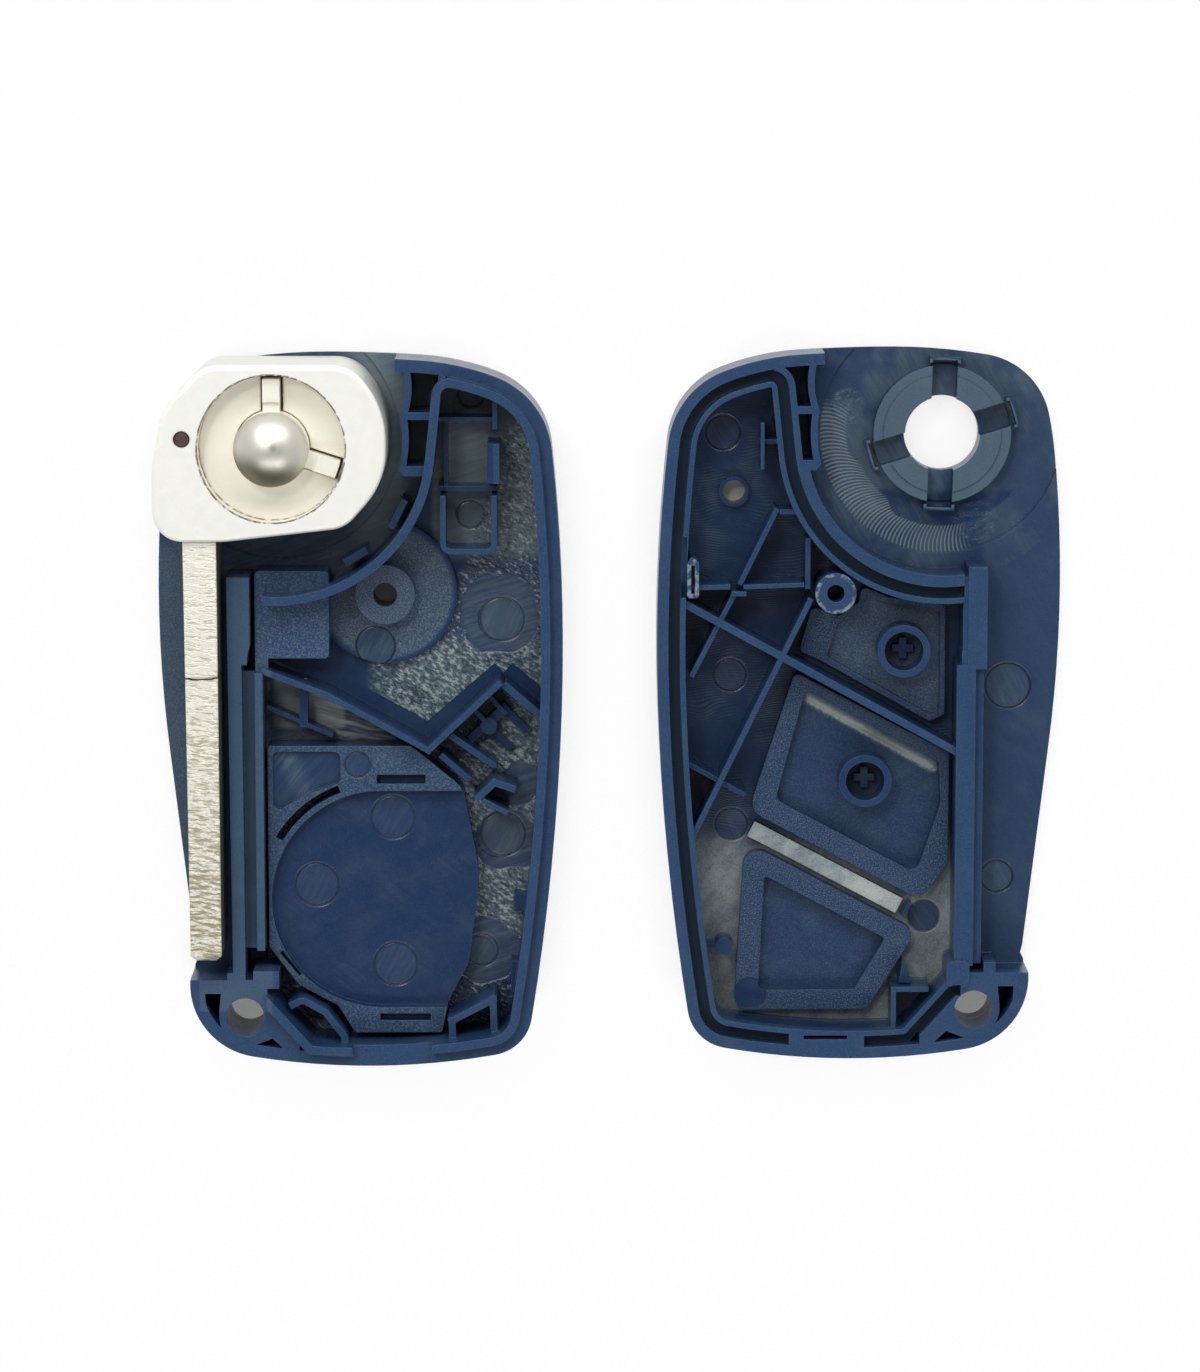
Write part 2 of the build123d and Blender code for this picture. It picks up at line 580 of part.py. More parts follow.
def front_shell():
    """The front half: tub, groove, chamber wall, channel, ribs, cap windows and hub ring."""
    shell = shell_tub(FRONT_RIM, RIM_BAND - GROOVE_CLEAR)
    shell -= chamber_recess()
    groove_low = FRONT_RIM - GROOVE_DEEP
    groove_inner = TONGUE_WIDE + GROOVE_CLEAR
    band = edge_band(GROOVE_CLEAR, -groove_inner - INNER_RIB, FRONT_LOOP_END_U)
    shell += raised(band, FLOOR, FRONT_RIM)
    chamber_side = edge_band(GROOVE_CLEAR + CHAMBER_WALL, GROOVE_CLEAR, FRONT_LOOP_END_U)
    chamber_side &= chamber_plan() & Pos(0, -23) * Rectangle(40, 40)
    chamber_side += edge_band(GROOVE_CLEAR + POCKET_SKIN, GROOVE_CLEAR) & chamber_plan()
    shell += raised(chamber_side, FLOOR, FRONT_RIM)
    shell += chamber_wall(FRONT_RIM, GROOVE_CLEAR, POCKET_SKIN)
    shell += end_block(FRONT_RIM, GROOVE_CLEAR)
    shell += front_channel() + front_ribs()
    shell += front_ring()
    shell += disc(BOSS_U, BOSS_V, FRONT_BOSS, FLOOR, FRONT_RIM)
    shell += disc(*LIGHT_HOLE, LIGHT_RADIUS + LIGHT_COLLAR, FLOOR, FLOOR + 0.8)
    groove = edge_band(GROOVE_CLEAR, -groove_inner, FRONT_LOOP_END_U)
    shell -= raised(groove, groove_low, FRONT_RIM + 1)
    shell -= rib([(25.9, -15.7), (25.9, -10.2)], 0.6, FRONT_RIM - 1.5, FRONT_RIM + 1)[0]
    shell += loop_catch()
    shell += block(7.6, 15.2, 1.0 - FOOT_REACH, 2.8 - FOOT_REACH, FLOOR, FRONT_RIM)
    shell -= block(9.3, 13.7, 2.0 - FOOT_REACH, 2.4 - FOOT_REACH, groove_low, FRONT_RIM + 1)
    shell -= disc(BOSS_U, BOSS_V, PILOT_HOLE, FLOOR + 0.6, FRONT_RIM + 1)
    shell -= disc(*LIGHT_HOLE, LIGHT_RADIUS, -1, 3)
    shell -= disc(0, 0, BUTTON_RADIUS + SLIDE_FIT, -1, FRONT_RIM)
    shell -= eye_hole(FRONT_RIM)
    for flange, radii, *rest in CAPS.values():
        shell -= cap_window(flange, radii)
    floor_marks = [
        (21.9, 0.0, 1.75), (21.1, -24.6, 1.65), (-7.0, -25.7, 2.3), (-6.1, -45.3, 1.65),
        (-3.5, -9.0, 2.2), (9.3, 2.6, 1.7), (20.9, -39.9, 1.65), (1.3, -49.4, 1.65),
    ]
    shell -= pin_marks(floor_marks, FLOOR)
    return shell


def head_plan():
    """The head seen from above: a disc with two flats and a lobe that carries the blade."""
    right = HEAD_RADIUS
    corners = [
        (-LOBE_REACH, -HEAD_FOOT_FLAT), (-4.6, -HEAD_FOOT_FLAT), (right - 4.05, 1.33 - HEAD_FOOT_FLAT),
        (right, -3.2), (right, 4.1), (right - 3.45, HEAD_TOP_FLAT), (-6.6, HEAD_TOP_FLAT),
        (1.05 - LOBE_REACH, 3.9), (-LOBE_REACH, -2.0),
    ]
    return rounded_face(corners, [3.0, 12.0, 3.5, 8.0, 9.0, 4.0, 3.5, 6.0, 10.0])


def tang_solid(fit):
    """The blade's root, as it lies in the head, with room round it where fit isn't zero."""
    low = BLADE_LOW + 0.4 - fit
    left = BLADE_U - TANG_THICK / 2 - fit
    right = BLADE_U + TANG_THICK / 2 + fit
    return block(left, right, -HEAD_FOOT_FLAT - 1, TANG_TOP_V + fit, low, low + TANG_TALL + 2 * fit)


def key_head():
    """The plated casting: a well for the button's lugs above, a socket for the hub below."""
    top = HEAD_LOW + HEAD_TALL
    well_floor = top - WELL_DEEP
    head = raised(head_plan(), HEAD_LOW, top)
    head = fillet(head.edges().group_by(Axis.Z)[-1], 0.45)
    head -= disc(0, 0, WELL_RADIUS, well_floor, top + 1)
    head -= disc(0, 0, HUB_RING + TURN_FIT, HEAD_LOW - 1, WEB_LOW)
    head -= disc(0, 0, BUTTON_RADIUS + SLIDE_FIT, WEB_LOW - 1, top)
    slot_reach = LUG_REACH + 0.2
    slot = Pos(slot_reach / 2, 0) * Rectangle(slot_reach, LUG_WIDE + 2 * LUG_CLEAR)
    for angle in LUG_ANGLES:
        head -= Rot(0, 0, angle) * raised(slot, LUG_LOW - BUTTON_TRAVEL - 0.3, well_floor + 1)
    head -= tang_solid(TANG_FIT)
    head -= disc(PIN_U, PIN_V, PIN_RADIUS + PIN_FIT, PIN_LOW, top + 1)
    return head


def key_blade():
    """The uncut blank: a tapered bar with a stop notch across it and a stepped-down tang."""
    half = BLADE_THICK / 2
    root = -HEAD_FOOT_FLAT - 0.1
    plan = [
        (BLADE_U - half - 0.1, root), (BLADE_U + half, root),
        (BLADE_U + half + 0.1, BLADE_END_V), (BLADE_U - half + 0.25, BLADE_END_V),
    ]
    blade = raised(make_face(Polyline(*plan, close=True)), BLADE_LOW, BLADE_LOW + BLADE_TALL)
    blade = chamfer(blade.faces().sort_by(Axis.Y)[0].edges(), 0.55)
    blade -= block(BLADE_U - 3, BLADE_U + 3, NOTCH_V - 0.2, NOTCH_V + 0.2, BLADE_LOW + BLADE_TALL - 0.25, 20)
    blade += tang_solid(0)
    return blade - disc(PIN_U, PIN_V, PIN_RADIUS + PIN_FIT, 0, 20)


def blade_pin():
    """The cross pin that holds the tang in the head."""
    pin = disc(PIN_U, PIN_V, PIN_RADIUS, PIN_LOW, HEAD_LOW + HEAD_TALL - PIN_SINK)
    return chamfer(pin.edges().group_by(Axis.Z)[-1], 0.15)


def button_bore():
    return BUTTON_RADIUS - BUTTON_WALL


def button_bore_top():
    return BUTTON_TOP - DOME_TALL - 0.8


def release_button():
    """A domed cup that slides in the head, with lugs that lock the head to the front half."""
    shoulder = BUTTON_TOP - DOME_TALL
    ball = (BUTTON_RADIUS**2 + DOME_TALL**2) / (2 * DOME_TALL)
    cup = disc(0, 0, BUTTON_RADIUS, BUTTON_LOW, BUTTON_TOP)
    cup &= Pos(0, 0, BUTTON_TOP - ball) * Sphere(ball) + disc(0, 0, BUTTON_RADIUS + 1, BUTTON_LOW, shoulder)
    lug = Pos(LUG_REACH / 2, 0) * Rectangle(LUG_REACH, LUG_WIDE) & Circle(LUG_REACH)
    step = disc(0, 0, BUTTON_RADIUS + 0.9, LUG_TOP - 0.5, LUG_TOP + 1)
    for angle in LUG_ANGLES:
        cup += Rot(0, 0, angle) * raised(lug, LUG_LOW, LUG_TOP) - step
    return cup - disc(0, 0, button_bore(), BUTTON_LOW - 1, button_bore_top())


def hub_spring():
    """The coil between the back half's floor and the inside of the button's dome."""
    wire = SPRING_WIRE / 2
    radius = button_bore() - SPRING_CLEAR - wire
    low = FLOOR - STEP_DEEP + wire + 0.02
    tall = button_bore_top() - wire - 0.02 - low
    path = Helix(tall / SPRING_TURNS, tall, radius)
    section = Plane(origin=path @ 0, z_dir=path % 0) * RegularPolygon(wire, WIRE_SIDES)
    return Pos(0, 0, low) * sweep(section, path=path, is_frenet=True)


back_half = {
    "back_shell": back_shell(),
    "battery_tray": battery_tray(),
    "key_head": key_head(),
    "key_blade": key_blade(),
    "blade_pin": blade_pin(),
    "release_button": release_button(),
    "hub_spring": hub_spring(),
}
front_half = {"front_shell": front_shell(), **button_caps()}

# Lay the halves out, and centre the whole on the origin
pieces = dict(back_half)
for name, solid in front_half.items():
    pieces[name] = Pos(HUB_SPACING, FRONT_SHIFT_V, 0) * mirror(solid, about=Plane.YZ)
whole = Compound(children=[Part() + solid for solid in pieces.values()]).bounding_box()
centre = whole.center()
print("back hub", -centre.X, -centre.Y, "low", whole.min.Z, "size", whole.size)

os.makedirs("parts", exist_ok=True)
for name, solid in pieces.items():
    export_step(Pos(-centre.X, -centre.Y, 0) * solid, f"parts/{name}.step")
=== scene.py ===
import json
from math import cos, pi, radians, sin

import bpy
import numpy as np
from bpy.props import FloatProperty, FloatVectorProperty, PointerProperty
from mathutils import Matrix, Vector

bl_info = {
    "name": "Key Fob Shell",
    "version": (1, 0, 0),
    "blender": (4, 5, 0),
    "location": "View3D > Sidebar > Key Fob",
    "description": "Finishes for an opened folding key fob: moulded halves, caps, key and button",
    "category": "Object",
}

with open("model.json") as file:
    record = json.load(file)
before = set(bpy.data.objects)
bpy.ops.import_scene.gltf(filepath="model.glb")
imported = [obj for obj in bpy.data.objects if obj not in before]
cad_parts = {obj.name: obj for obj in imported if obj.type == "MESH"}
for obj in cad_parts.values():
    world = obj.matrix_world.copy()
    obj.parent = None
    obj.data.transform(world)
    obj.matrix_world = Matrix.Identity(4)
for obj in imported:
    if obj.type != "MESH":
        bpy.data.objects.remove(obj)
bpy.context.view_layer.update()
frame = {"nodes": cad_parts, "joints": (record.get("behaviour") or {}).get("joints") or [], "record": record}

MM = 0.001
MICRON = 1e-6

# Places read from the frame: the two hub axes, from which both halves are laid out
JOINTS = {joint["name"]: joint for joint in frame["joints"]}
OPENINGS = {space["name"]: space["box_m"] for space in frame["record"]["physics"]["openings"]}
BACK_HUB = Vector(JOINTS["key_flip"]["pos_m"])
FRONT_HUB = (Vector(OPENINGS["hub_hole_front"][0]) + Vector(OPENINGS["hub_hole_front"][1])) / 2

CAP_NODES = ("button_cap_top", "button_cap_middle", "button_cap_bottom")

# Heights of the solids' flats above the table, in millimetres
FLOOR = 1.4
PLATEAU = 2.3
FRONT_STRIP = 2.3
TOP_CAP_RECESS = 2.3
CAP_FLANGE = 3.0
FRONT_RING = 3.25
SCREW_BOSS = 4.3
TRAY_TOP = 5.4
GROOVE_FLOOR = 5.5
HEAD_BLOCK = 6.3
FRONT_RIM = 7.3
WELL_FLOOR = 10.9
HEAD_TOP = 13.5
# Heights between which walls turn paler towards their tops, and between which their edges take a painted
# highlight
PALE_WALLS = (4.6, 6.6)
HIGHLIT_EDGES = (1.8, 4.5)

# Places in a half's plan are U and V in millimetres from its hub axis
HUB = (0.0, 0.0)
CHAMBER_RADIUS = 15.0
WELL_RADIUS = 7.25
SCREW = (10.75, -15.55)
LIGHT_HOLE = (20.8, -5.9)

# Ejector marks as in the solids: U, V and radius
BACK_MARKS = (
    (22.5, -40.4, 2.25), (20.3, -52.4, 1.65), (22.5, -18.4, 2.2),
    (19.3, -7.8, 1.4), (19.4, 4.3, 1.35), (9.7, -21.0, 2.0),
)
TRAY_MARKS = ((11.4, -38.2, 2.2), (3.7, -45.1, 2.2), (11.6, -53.3, 2.2), (7.9, -32.6, 1.3))
FRONT_MARKS = (
    (21.9, 0.0, 1.75), (21.1, -24.6, 1.65), (-7.0, -25.7, 2.3), (-6.1, -45.3, 1.65),
    (20.9, -39.9, 1.65), (1.3, -49.4, 1.65),
)
# The heights between which the marks lie: on the floors, on the plateau and in the tray
FLOOR_LEVELS = (1.15, 1.5)
PLATEAU_LEVELS = (2.05, 2.4)
DISH_LEVELS = (3.85, 4.2)
TRAY_LEVELS = (5.15, 5.5)

# Patches polished round the back half's marks, and rough ones on the front chamber's floor, likewise
BACK_POLISH = ((22.2, -17.6, 4.0), (24.2, -35.2, 2.4), (22.8, -41.2, 3.2), (20.6, -52.4, 3.4))
FRONT_SCARS = ((-3.5, -9.0, 2.2), (9.3, 2.6, 1.7))

# Rectangles of the plan, each from its low to its high corner
SIDE_POCKETS = ((13.5, -4.0), (17.5, 9.5))
BLADE_GUIDES = (((-8.0, -57.3), (-2.6, -10.5)), ((-8.0, -57.3), (-0.6, -21.7)))
UNDER_ARM_POLISH = ((-1.5, -31.5), (14.0, -22.0))
UNDER_ARM_WINDOWS = ((-0.6, -29.5), (6.5, -22.5))
UNDER_ARM_STREAKS = ((3.5, -30.5), (13.5, -26.5))
TRAY_RECESS = ((-0.8, -37.4), (6.4, -31.0))
FRONT_LOOP = ((24.2, -16.2), (25.75, -11.6))

# Corners of the back half's arms, beside which its floor is smooth, and the long arm's slope
ARM_CORNERS = ((-1.3, -22.9), (5.0, -25.3), (15.1, -30.9), (22.6, -24.4), (26.3, -27.5))
ARM_SLOPE = 0.554

# Radii of the middle of the cutter's path round the front chamber, and of the cutter
CUTTER_PATH = 11.4
CUTTER_RADIUS = 3.5

# The camera's place aside and towards the head end, and what it looks at, in millimetres
CAMERA_PLACE = (-3.9, 76.0)
CAMERA_TARGET = (-1.0, 2.7, 8.3)
# The sky's darker patch leans as far to the foot as the camera to the head, so the flats mirror it
CAMERA_LEAN = radians(8.5)
PATCH_RIM = radians(45.0)
PATCH_CORE = radians(14.0)

# Lamps: name, lean to the head end in degrees, shift aside and size in metres
LAMPS = (
    ("near_bank", -38.0, 0.0, (0.9, 0.18)),
    ("far_bank", 46.0, 0.0, (1.0, 0.35)),
    ("key_lamp", 24.0, -0.22, (0.12, 0.12)),
)
LAMP_DISTANCE = 0.8
LAMP_TARGET = (0.0, 0.0, 0.005)
TABLE_REACH = 3.0
TABLE_GAP = 0.02 * MM
# How far from a wall its corner takes painted shade and the table still darkens
CORNER_REACH = 2.6 * MM
TABLE_SHADE_REACH = 6 * MM

# Rays that look for corners and edges, few so that a render stays short
RAYS = 2
# A Mix node's sockets for each kind of value: its two inputs and its output
MIX_SOCKETS = {"FLOAT": (2, 3, 0), "RGBA": (6, 7, 2)}


class PlasticSettings(bpy.types.PropertyGroup):
    """Colours and texture sizes of the moulded plastic."""

    navy: FloatVectorProperty(
        name="Navy", description="Colour of the moulded plastic", subtype="COLOR",
        size=3, min=0, max=1, default=(0.006, 0.028, 0.09),
    )
    # Painted highlight on thin edges and rib tops
    edge: FloatVectorProperty(
        name="Edge", description="Paler colour that thin edges and rib tops take", subtype="COLOR",
        size=3, min=0, max=1, default=(0.06, 0.14, 0.29),
    )
    # Greyer colour of the mould's dull film, which also serves as a painted sheen where brushed, grained and
    # rippled floors catch the lamps
    film_and_sheen: FloatVectorProperty(
        name="Film", description="Greyer colour where the mould's release film dulls the plastic",
        subtype="COLOR", size=3, min=0, max=1, default=(0.085, 0.13, 0.165),
    )
    # Palest colour, of scuffs and scratches and of painted glints on crests and bright patches
    scuff_and_glint: FloatVectorProperty(
        name="Scuff", description="Palest colour, on the crests of scallops and scratches",
        subtype="COLOR", size=3, min=0, max=1, default=(0.44, 0.5, 0.47),
    )
    # Painted shade in grooves and deep corners
    corner_shade: FloatVectorProperty(
        name="Corner", description="Nearly black colour that gathers in grooves and deep corners",
        subtype="COLOR", size=3, min=0, max=1, default=(0.003, 0.007, 0.014),
    )
    gloss_roughness: FloatProperty(
        name="Gloss roughness", description="Roughness of the smooth mould faces",
        min=0, max=1, default=0.3,
    )
    ripple_pitch: FloatProperty(
        name="Ripple pitch", description="Width of the scallops that the cutter left on the floors",
        unit="LENGTH", default=0.0003,
    )
    ripple_depth: FloatProperty(
        name="Ripple depth", description="Depth of those scallops", unit="LENGTH", default=0.00016,
    )
    brush_pitch: FloatProperty(
        name="Brush pitch", description="Spacing of the polishing lines", unit="LENGTH", default=0.0002,
    )
    pebble_pitch: FloatProperty(
        name="Pebble pitch", description="Size of the grain on the raised flats",
        unit="LENGTH", default=0.00013,
    )
    contour_pitch: FloatProperty(
        name="Contour pitch", description="Step of the wandering lines round the caps",
        unit="LENGTH", default=0.00028,
    )
    cutter_pitch: FloatProperty(
        name="Cutter pitch", description="Step of the cutter's arcs on the chamber floor",
        unit="LENGTH", default=0.0004,
    )
    edge_round: FloatProperty(
        name="Edge round", description="Radius that light sees on every moulded edge",
        unit="LENGTH", default=0.00018,
    )


class MetalSettings(bpy.types.PropertyGroup):
    """Colours and texture sizes of the key's metals."""

    plating: FloatVectorProperty(
        name="Plating", description="Colour of the plated head", subtype="COLOR",
        size=3, min=0, max=1, default=(0.98, 0.975, 0.93),
    )
    well: FloatVectorProperty(
        name="Well", description="Warmer plating inside the head's well", subtype="COLOR",
        size=3, min=0, max=1, default=(1.0, 0.97, 0.85),
    )
    # Grey-green of the head's random mottling, also used for painted shade on its sides and edges
    casting_and_shade: FloatVectorProperty(
        name="Casting", description="Grey-green of the head's sides, where the plating is thin",
        subtype="COLOR", size=3, min=0, max=1, default=(0.5, 0.52, 0.43),
    )
    # Brown of a thin line at the well's foot and along its top edge
    brown_line: FloatVectorProperty(
        name="Tarnish", description="Brown that gathers in the plating's corners", subtype="COLOR",
        size=3, min=0, max=1, default=(0.2, 0.13, 0.05),
    )
    blank: FloatVectorProperty(
        name="Blank", description="Colour of the key blank", subtype="COLOR",
        size=3, min=0, max=1, default=(0.95, 0.93, 0.83),
    )
    # Painted shade in the blank's cross creases and grain
    crease_shade: FloatVectorProperty(
        name="Crease", description="Golden grey in the blank's cross creases", subtype="COLOR",
        size=3, min=0, max=1, default=(0.34, 0.3, 0.17),
    )
    # Painted shade on the blank's sides
    blank_side_shade: FloatVectorProperty(
        name="Blank side", description="Dark metal of the blank's uncut sides", subtype="COLOR",
        size=3, min=0, max=1, default=(0.17, 0.16, 0.12),
    )
    # Painted shade in the thin notch across the blank
    notch: FloatVectorProperty(
        name="Notch", description="Colour in the thin notch across the blank", subtype="COLOR",
        size=3, min=0, max=1, default=(0.025, 0.024, 0.018),
    )
    chrome: FloatVectorProperty(
        name="Chrome", description="Colour of the release button", subtype="COLOR",
        size=3, min=0, max=1, default=(0.84, 0.83, 0.74),
    )
    haze: FloatVectorProperty(
        name="Haze", description="Colour of the clouds on the release button", subtype="COLOR",
        size=3, min=0, max=1, default=(0.8, 0.78, 0.68),
    )
    # Painted reflection: the olive crescent on the button's lower side
    dome_low_reflection: FloatVectorProperty(
        name="Low side", description="Olive of the crescent on the button's lower side",
        subtype="COLOR", size=3, min=0, max=1, default=(0.16, 0.16, 0.09),
    )
    # Painted reflection of the camera: the grey spot at the dome's top
    dome_spot_reflection: FloatVectorProperty(
        name="Spot", description="Grey of the spot at the top of the dome", subtype="COLOR",
        size=3, min=0, max=1, default=(0.3, 0.3, 0.24),
    )
    pin_dark: FloatVectorProperty(
        name="Pin, dark", description="Darker colour of the cross pin's end", subtype="COLOR",
        size=3, min=0, max=1, default=(0.05, 0.03, 0.03),
    )
    pin_pale: FloatVectorProperty(
        name="Pin, pale", description="Paler colour of the cross pin's end", subtype="COLOR",
        size=3, min=0, max=1, default=(0.16, 0.12, 0.11),
    )
    wire_pale: FloatVectorProperty(
        name="Wire, pale", description="Paler colour of the coil's wire", subtype="COLOR",
        size=3, min=0, max=1, default=(0.5, 0.5, 0.5),
    )
    wire_dark: FloatVectorProperty(
        name="Wire, dark", description="Darker colour of the coil's wire", subtype="COLOR",
        size=3, min=0, max=1, default=(0.36, 0.36, 0.37),
    )
    mill_pitch: FloatProperty(
        name="Mill pitch", description="Step of the cross lines on the blank",
        unit="LENGTH", default=0.00029,
    )


class StageSettings(bpy.types.PropertyGroup):
    """Table, camera and light."""

    table: FloatVectorProperty(
        name="Table", description="Colour of the table", subtype="COLOR",
        size=3, min=0, max=1, default=(0.86, 0.86, 0.86),
    )
    # Painted shade on the table under the light hole
    hole_shade: FloatVectorProperty(
        name="Hole ground", description="Olive of the table under the light hole", subtype="COLOR",
        size=3, min=0, max=1, default=(0.36, 0.38, 0.31),
    )

    camera_height: FloatProperty(
        name="Camera height", description="Height of the camera above the table",
        unit="LENGTH", default=0.5,
    )
    view_height: FloatProperty(
        name="View height", description="Length that the frame's long side covers at the rims",
        unit="LENGTH", default=0.1368,
    )
    sky: FloatProperty(
        name="Sky", description="Strength of the even light from all round", min=0, default=0.6,
    )
    near_bank: FloatProperty(
        name="Near bank", description="Power of the narrow light on the foot side",
        unit="POWER", default=1.7,
    )
    far_bank: FloatProperty(
        name="Far bank", description="Power of the wide light on the head side", unit="POWER", default=3.3,
    )
    key_lamp: FloatProperty(
        name="Key lamp", description="Power of the small lamp that makes the glints",
        unit="POWER", default=1.2,
    )


class Nodes:
    """A node tree, built by short calls that return output sockets."""

    def __init__(self, tree):
        self.tree = tree
        self.tree.nodes.clear()

    def node(self, kind, **settings):
        made = self.tree.nodes.new(kind)
        for key, value in settings.items():
            setattr(made, key, value)
        return made

    def put(self, value, socket):
        """A link from a socket, or a constant on the socket itself."""
        if isinstance(value, bpy.types.NodeSocket):
            self.tree.links.new(value, socket)
        elif hasattr(value, "__len__") and len(value) == 3 and len(socket.default_value) == 4:
            socket.default_value = (*value, 1.0)
        else:
            socket.default_value = value

    def math(self, operation, first, second=0.0, third=0.0):
        made = self.node("ShaderNodeMath", operation=operation)
        for value, socket in zip((first, second, third), made.inputs):
            self.put(value, socket)
        return made.outputs[0]

    def times(self, first, *factors):
        """The product of several values."""
        for factor in factors:
            first = self.math("MULTIPLY", first, factor)
        return first

    def add(self, value, *layers):
        """A value with some layers added to it, each layer a mask and its weight."""
        for mask, weight in layers:
            value = self.math("MULTIPLY_ADD", mask, weight, value)
        return value

    def pool(self, first, *masks):
        """The largest of several masks."""
        for mask in masks:
            first = self.math("MAXIMUM", first, mask)
        return first

    def rise(self, value, low, high, kind="SMOOTHSTEP"):
        """0 below low, 1 above high and a rise between them (a fall when high is lower)."""
        made = self.node("ShaderNodeMapRange", interpolation_type=kind)
        self.put(value, made.inputs["Value"])
        made.inputs["From Min"].default_value = min(low, high)
        made.inputs["From Max"].default_value = max(low, high)
        made.inputs["To Min"].default_value = 0.0 if low < high else 1.0
        made.inputs["To Max"].default_value = 1.0 if low < high else 0.0
        return made.outputs["Result"]

    def between(self, value, low, high, soft):
        """1 from low to high, with soft ends."""
        inside = self.rise(value, low - soft, low + soft)
        return self.times(inside, self.rise(value, high + soft, high - soft))

    def mix(self, kind, factor, first, second):
        made = self.node("ShaderNodeMix", data_type=kind)
        low, high, result = MIX_SOCKETS[kind]
        self.put(factor, made.inputs[0])
        self.put(first, made.inputs[low])
        self.put(second, made.inputs[high])
        return made.outputs[result]

    def blend(self, factor, first, second):
        """A colour from the first to the second one."""
        return self.mix("RGBA", factor, first, second)

    def weigh(self, factor, first, second):
        """A number from the first to the second one."""
        return self.mix("FLOAT", factor, first, second)

    def vector(self, operation, *values):
        made = self.node("ShaderNodeVectorMath", operation=operation)
        for value, socket in zip(values, made.inputs):
            self.put(value, socket)
        return made.outputs["Value" if operation == "DOT_PRODUCT" else "Vector"]

    def split(self, place):
        made = self.node("ShaderNodeSeparateXYZ")
        self.put(place, made.inputs[0])
        return made.outputs


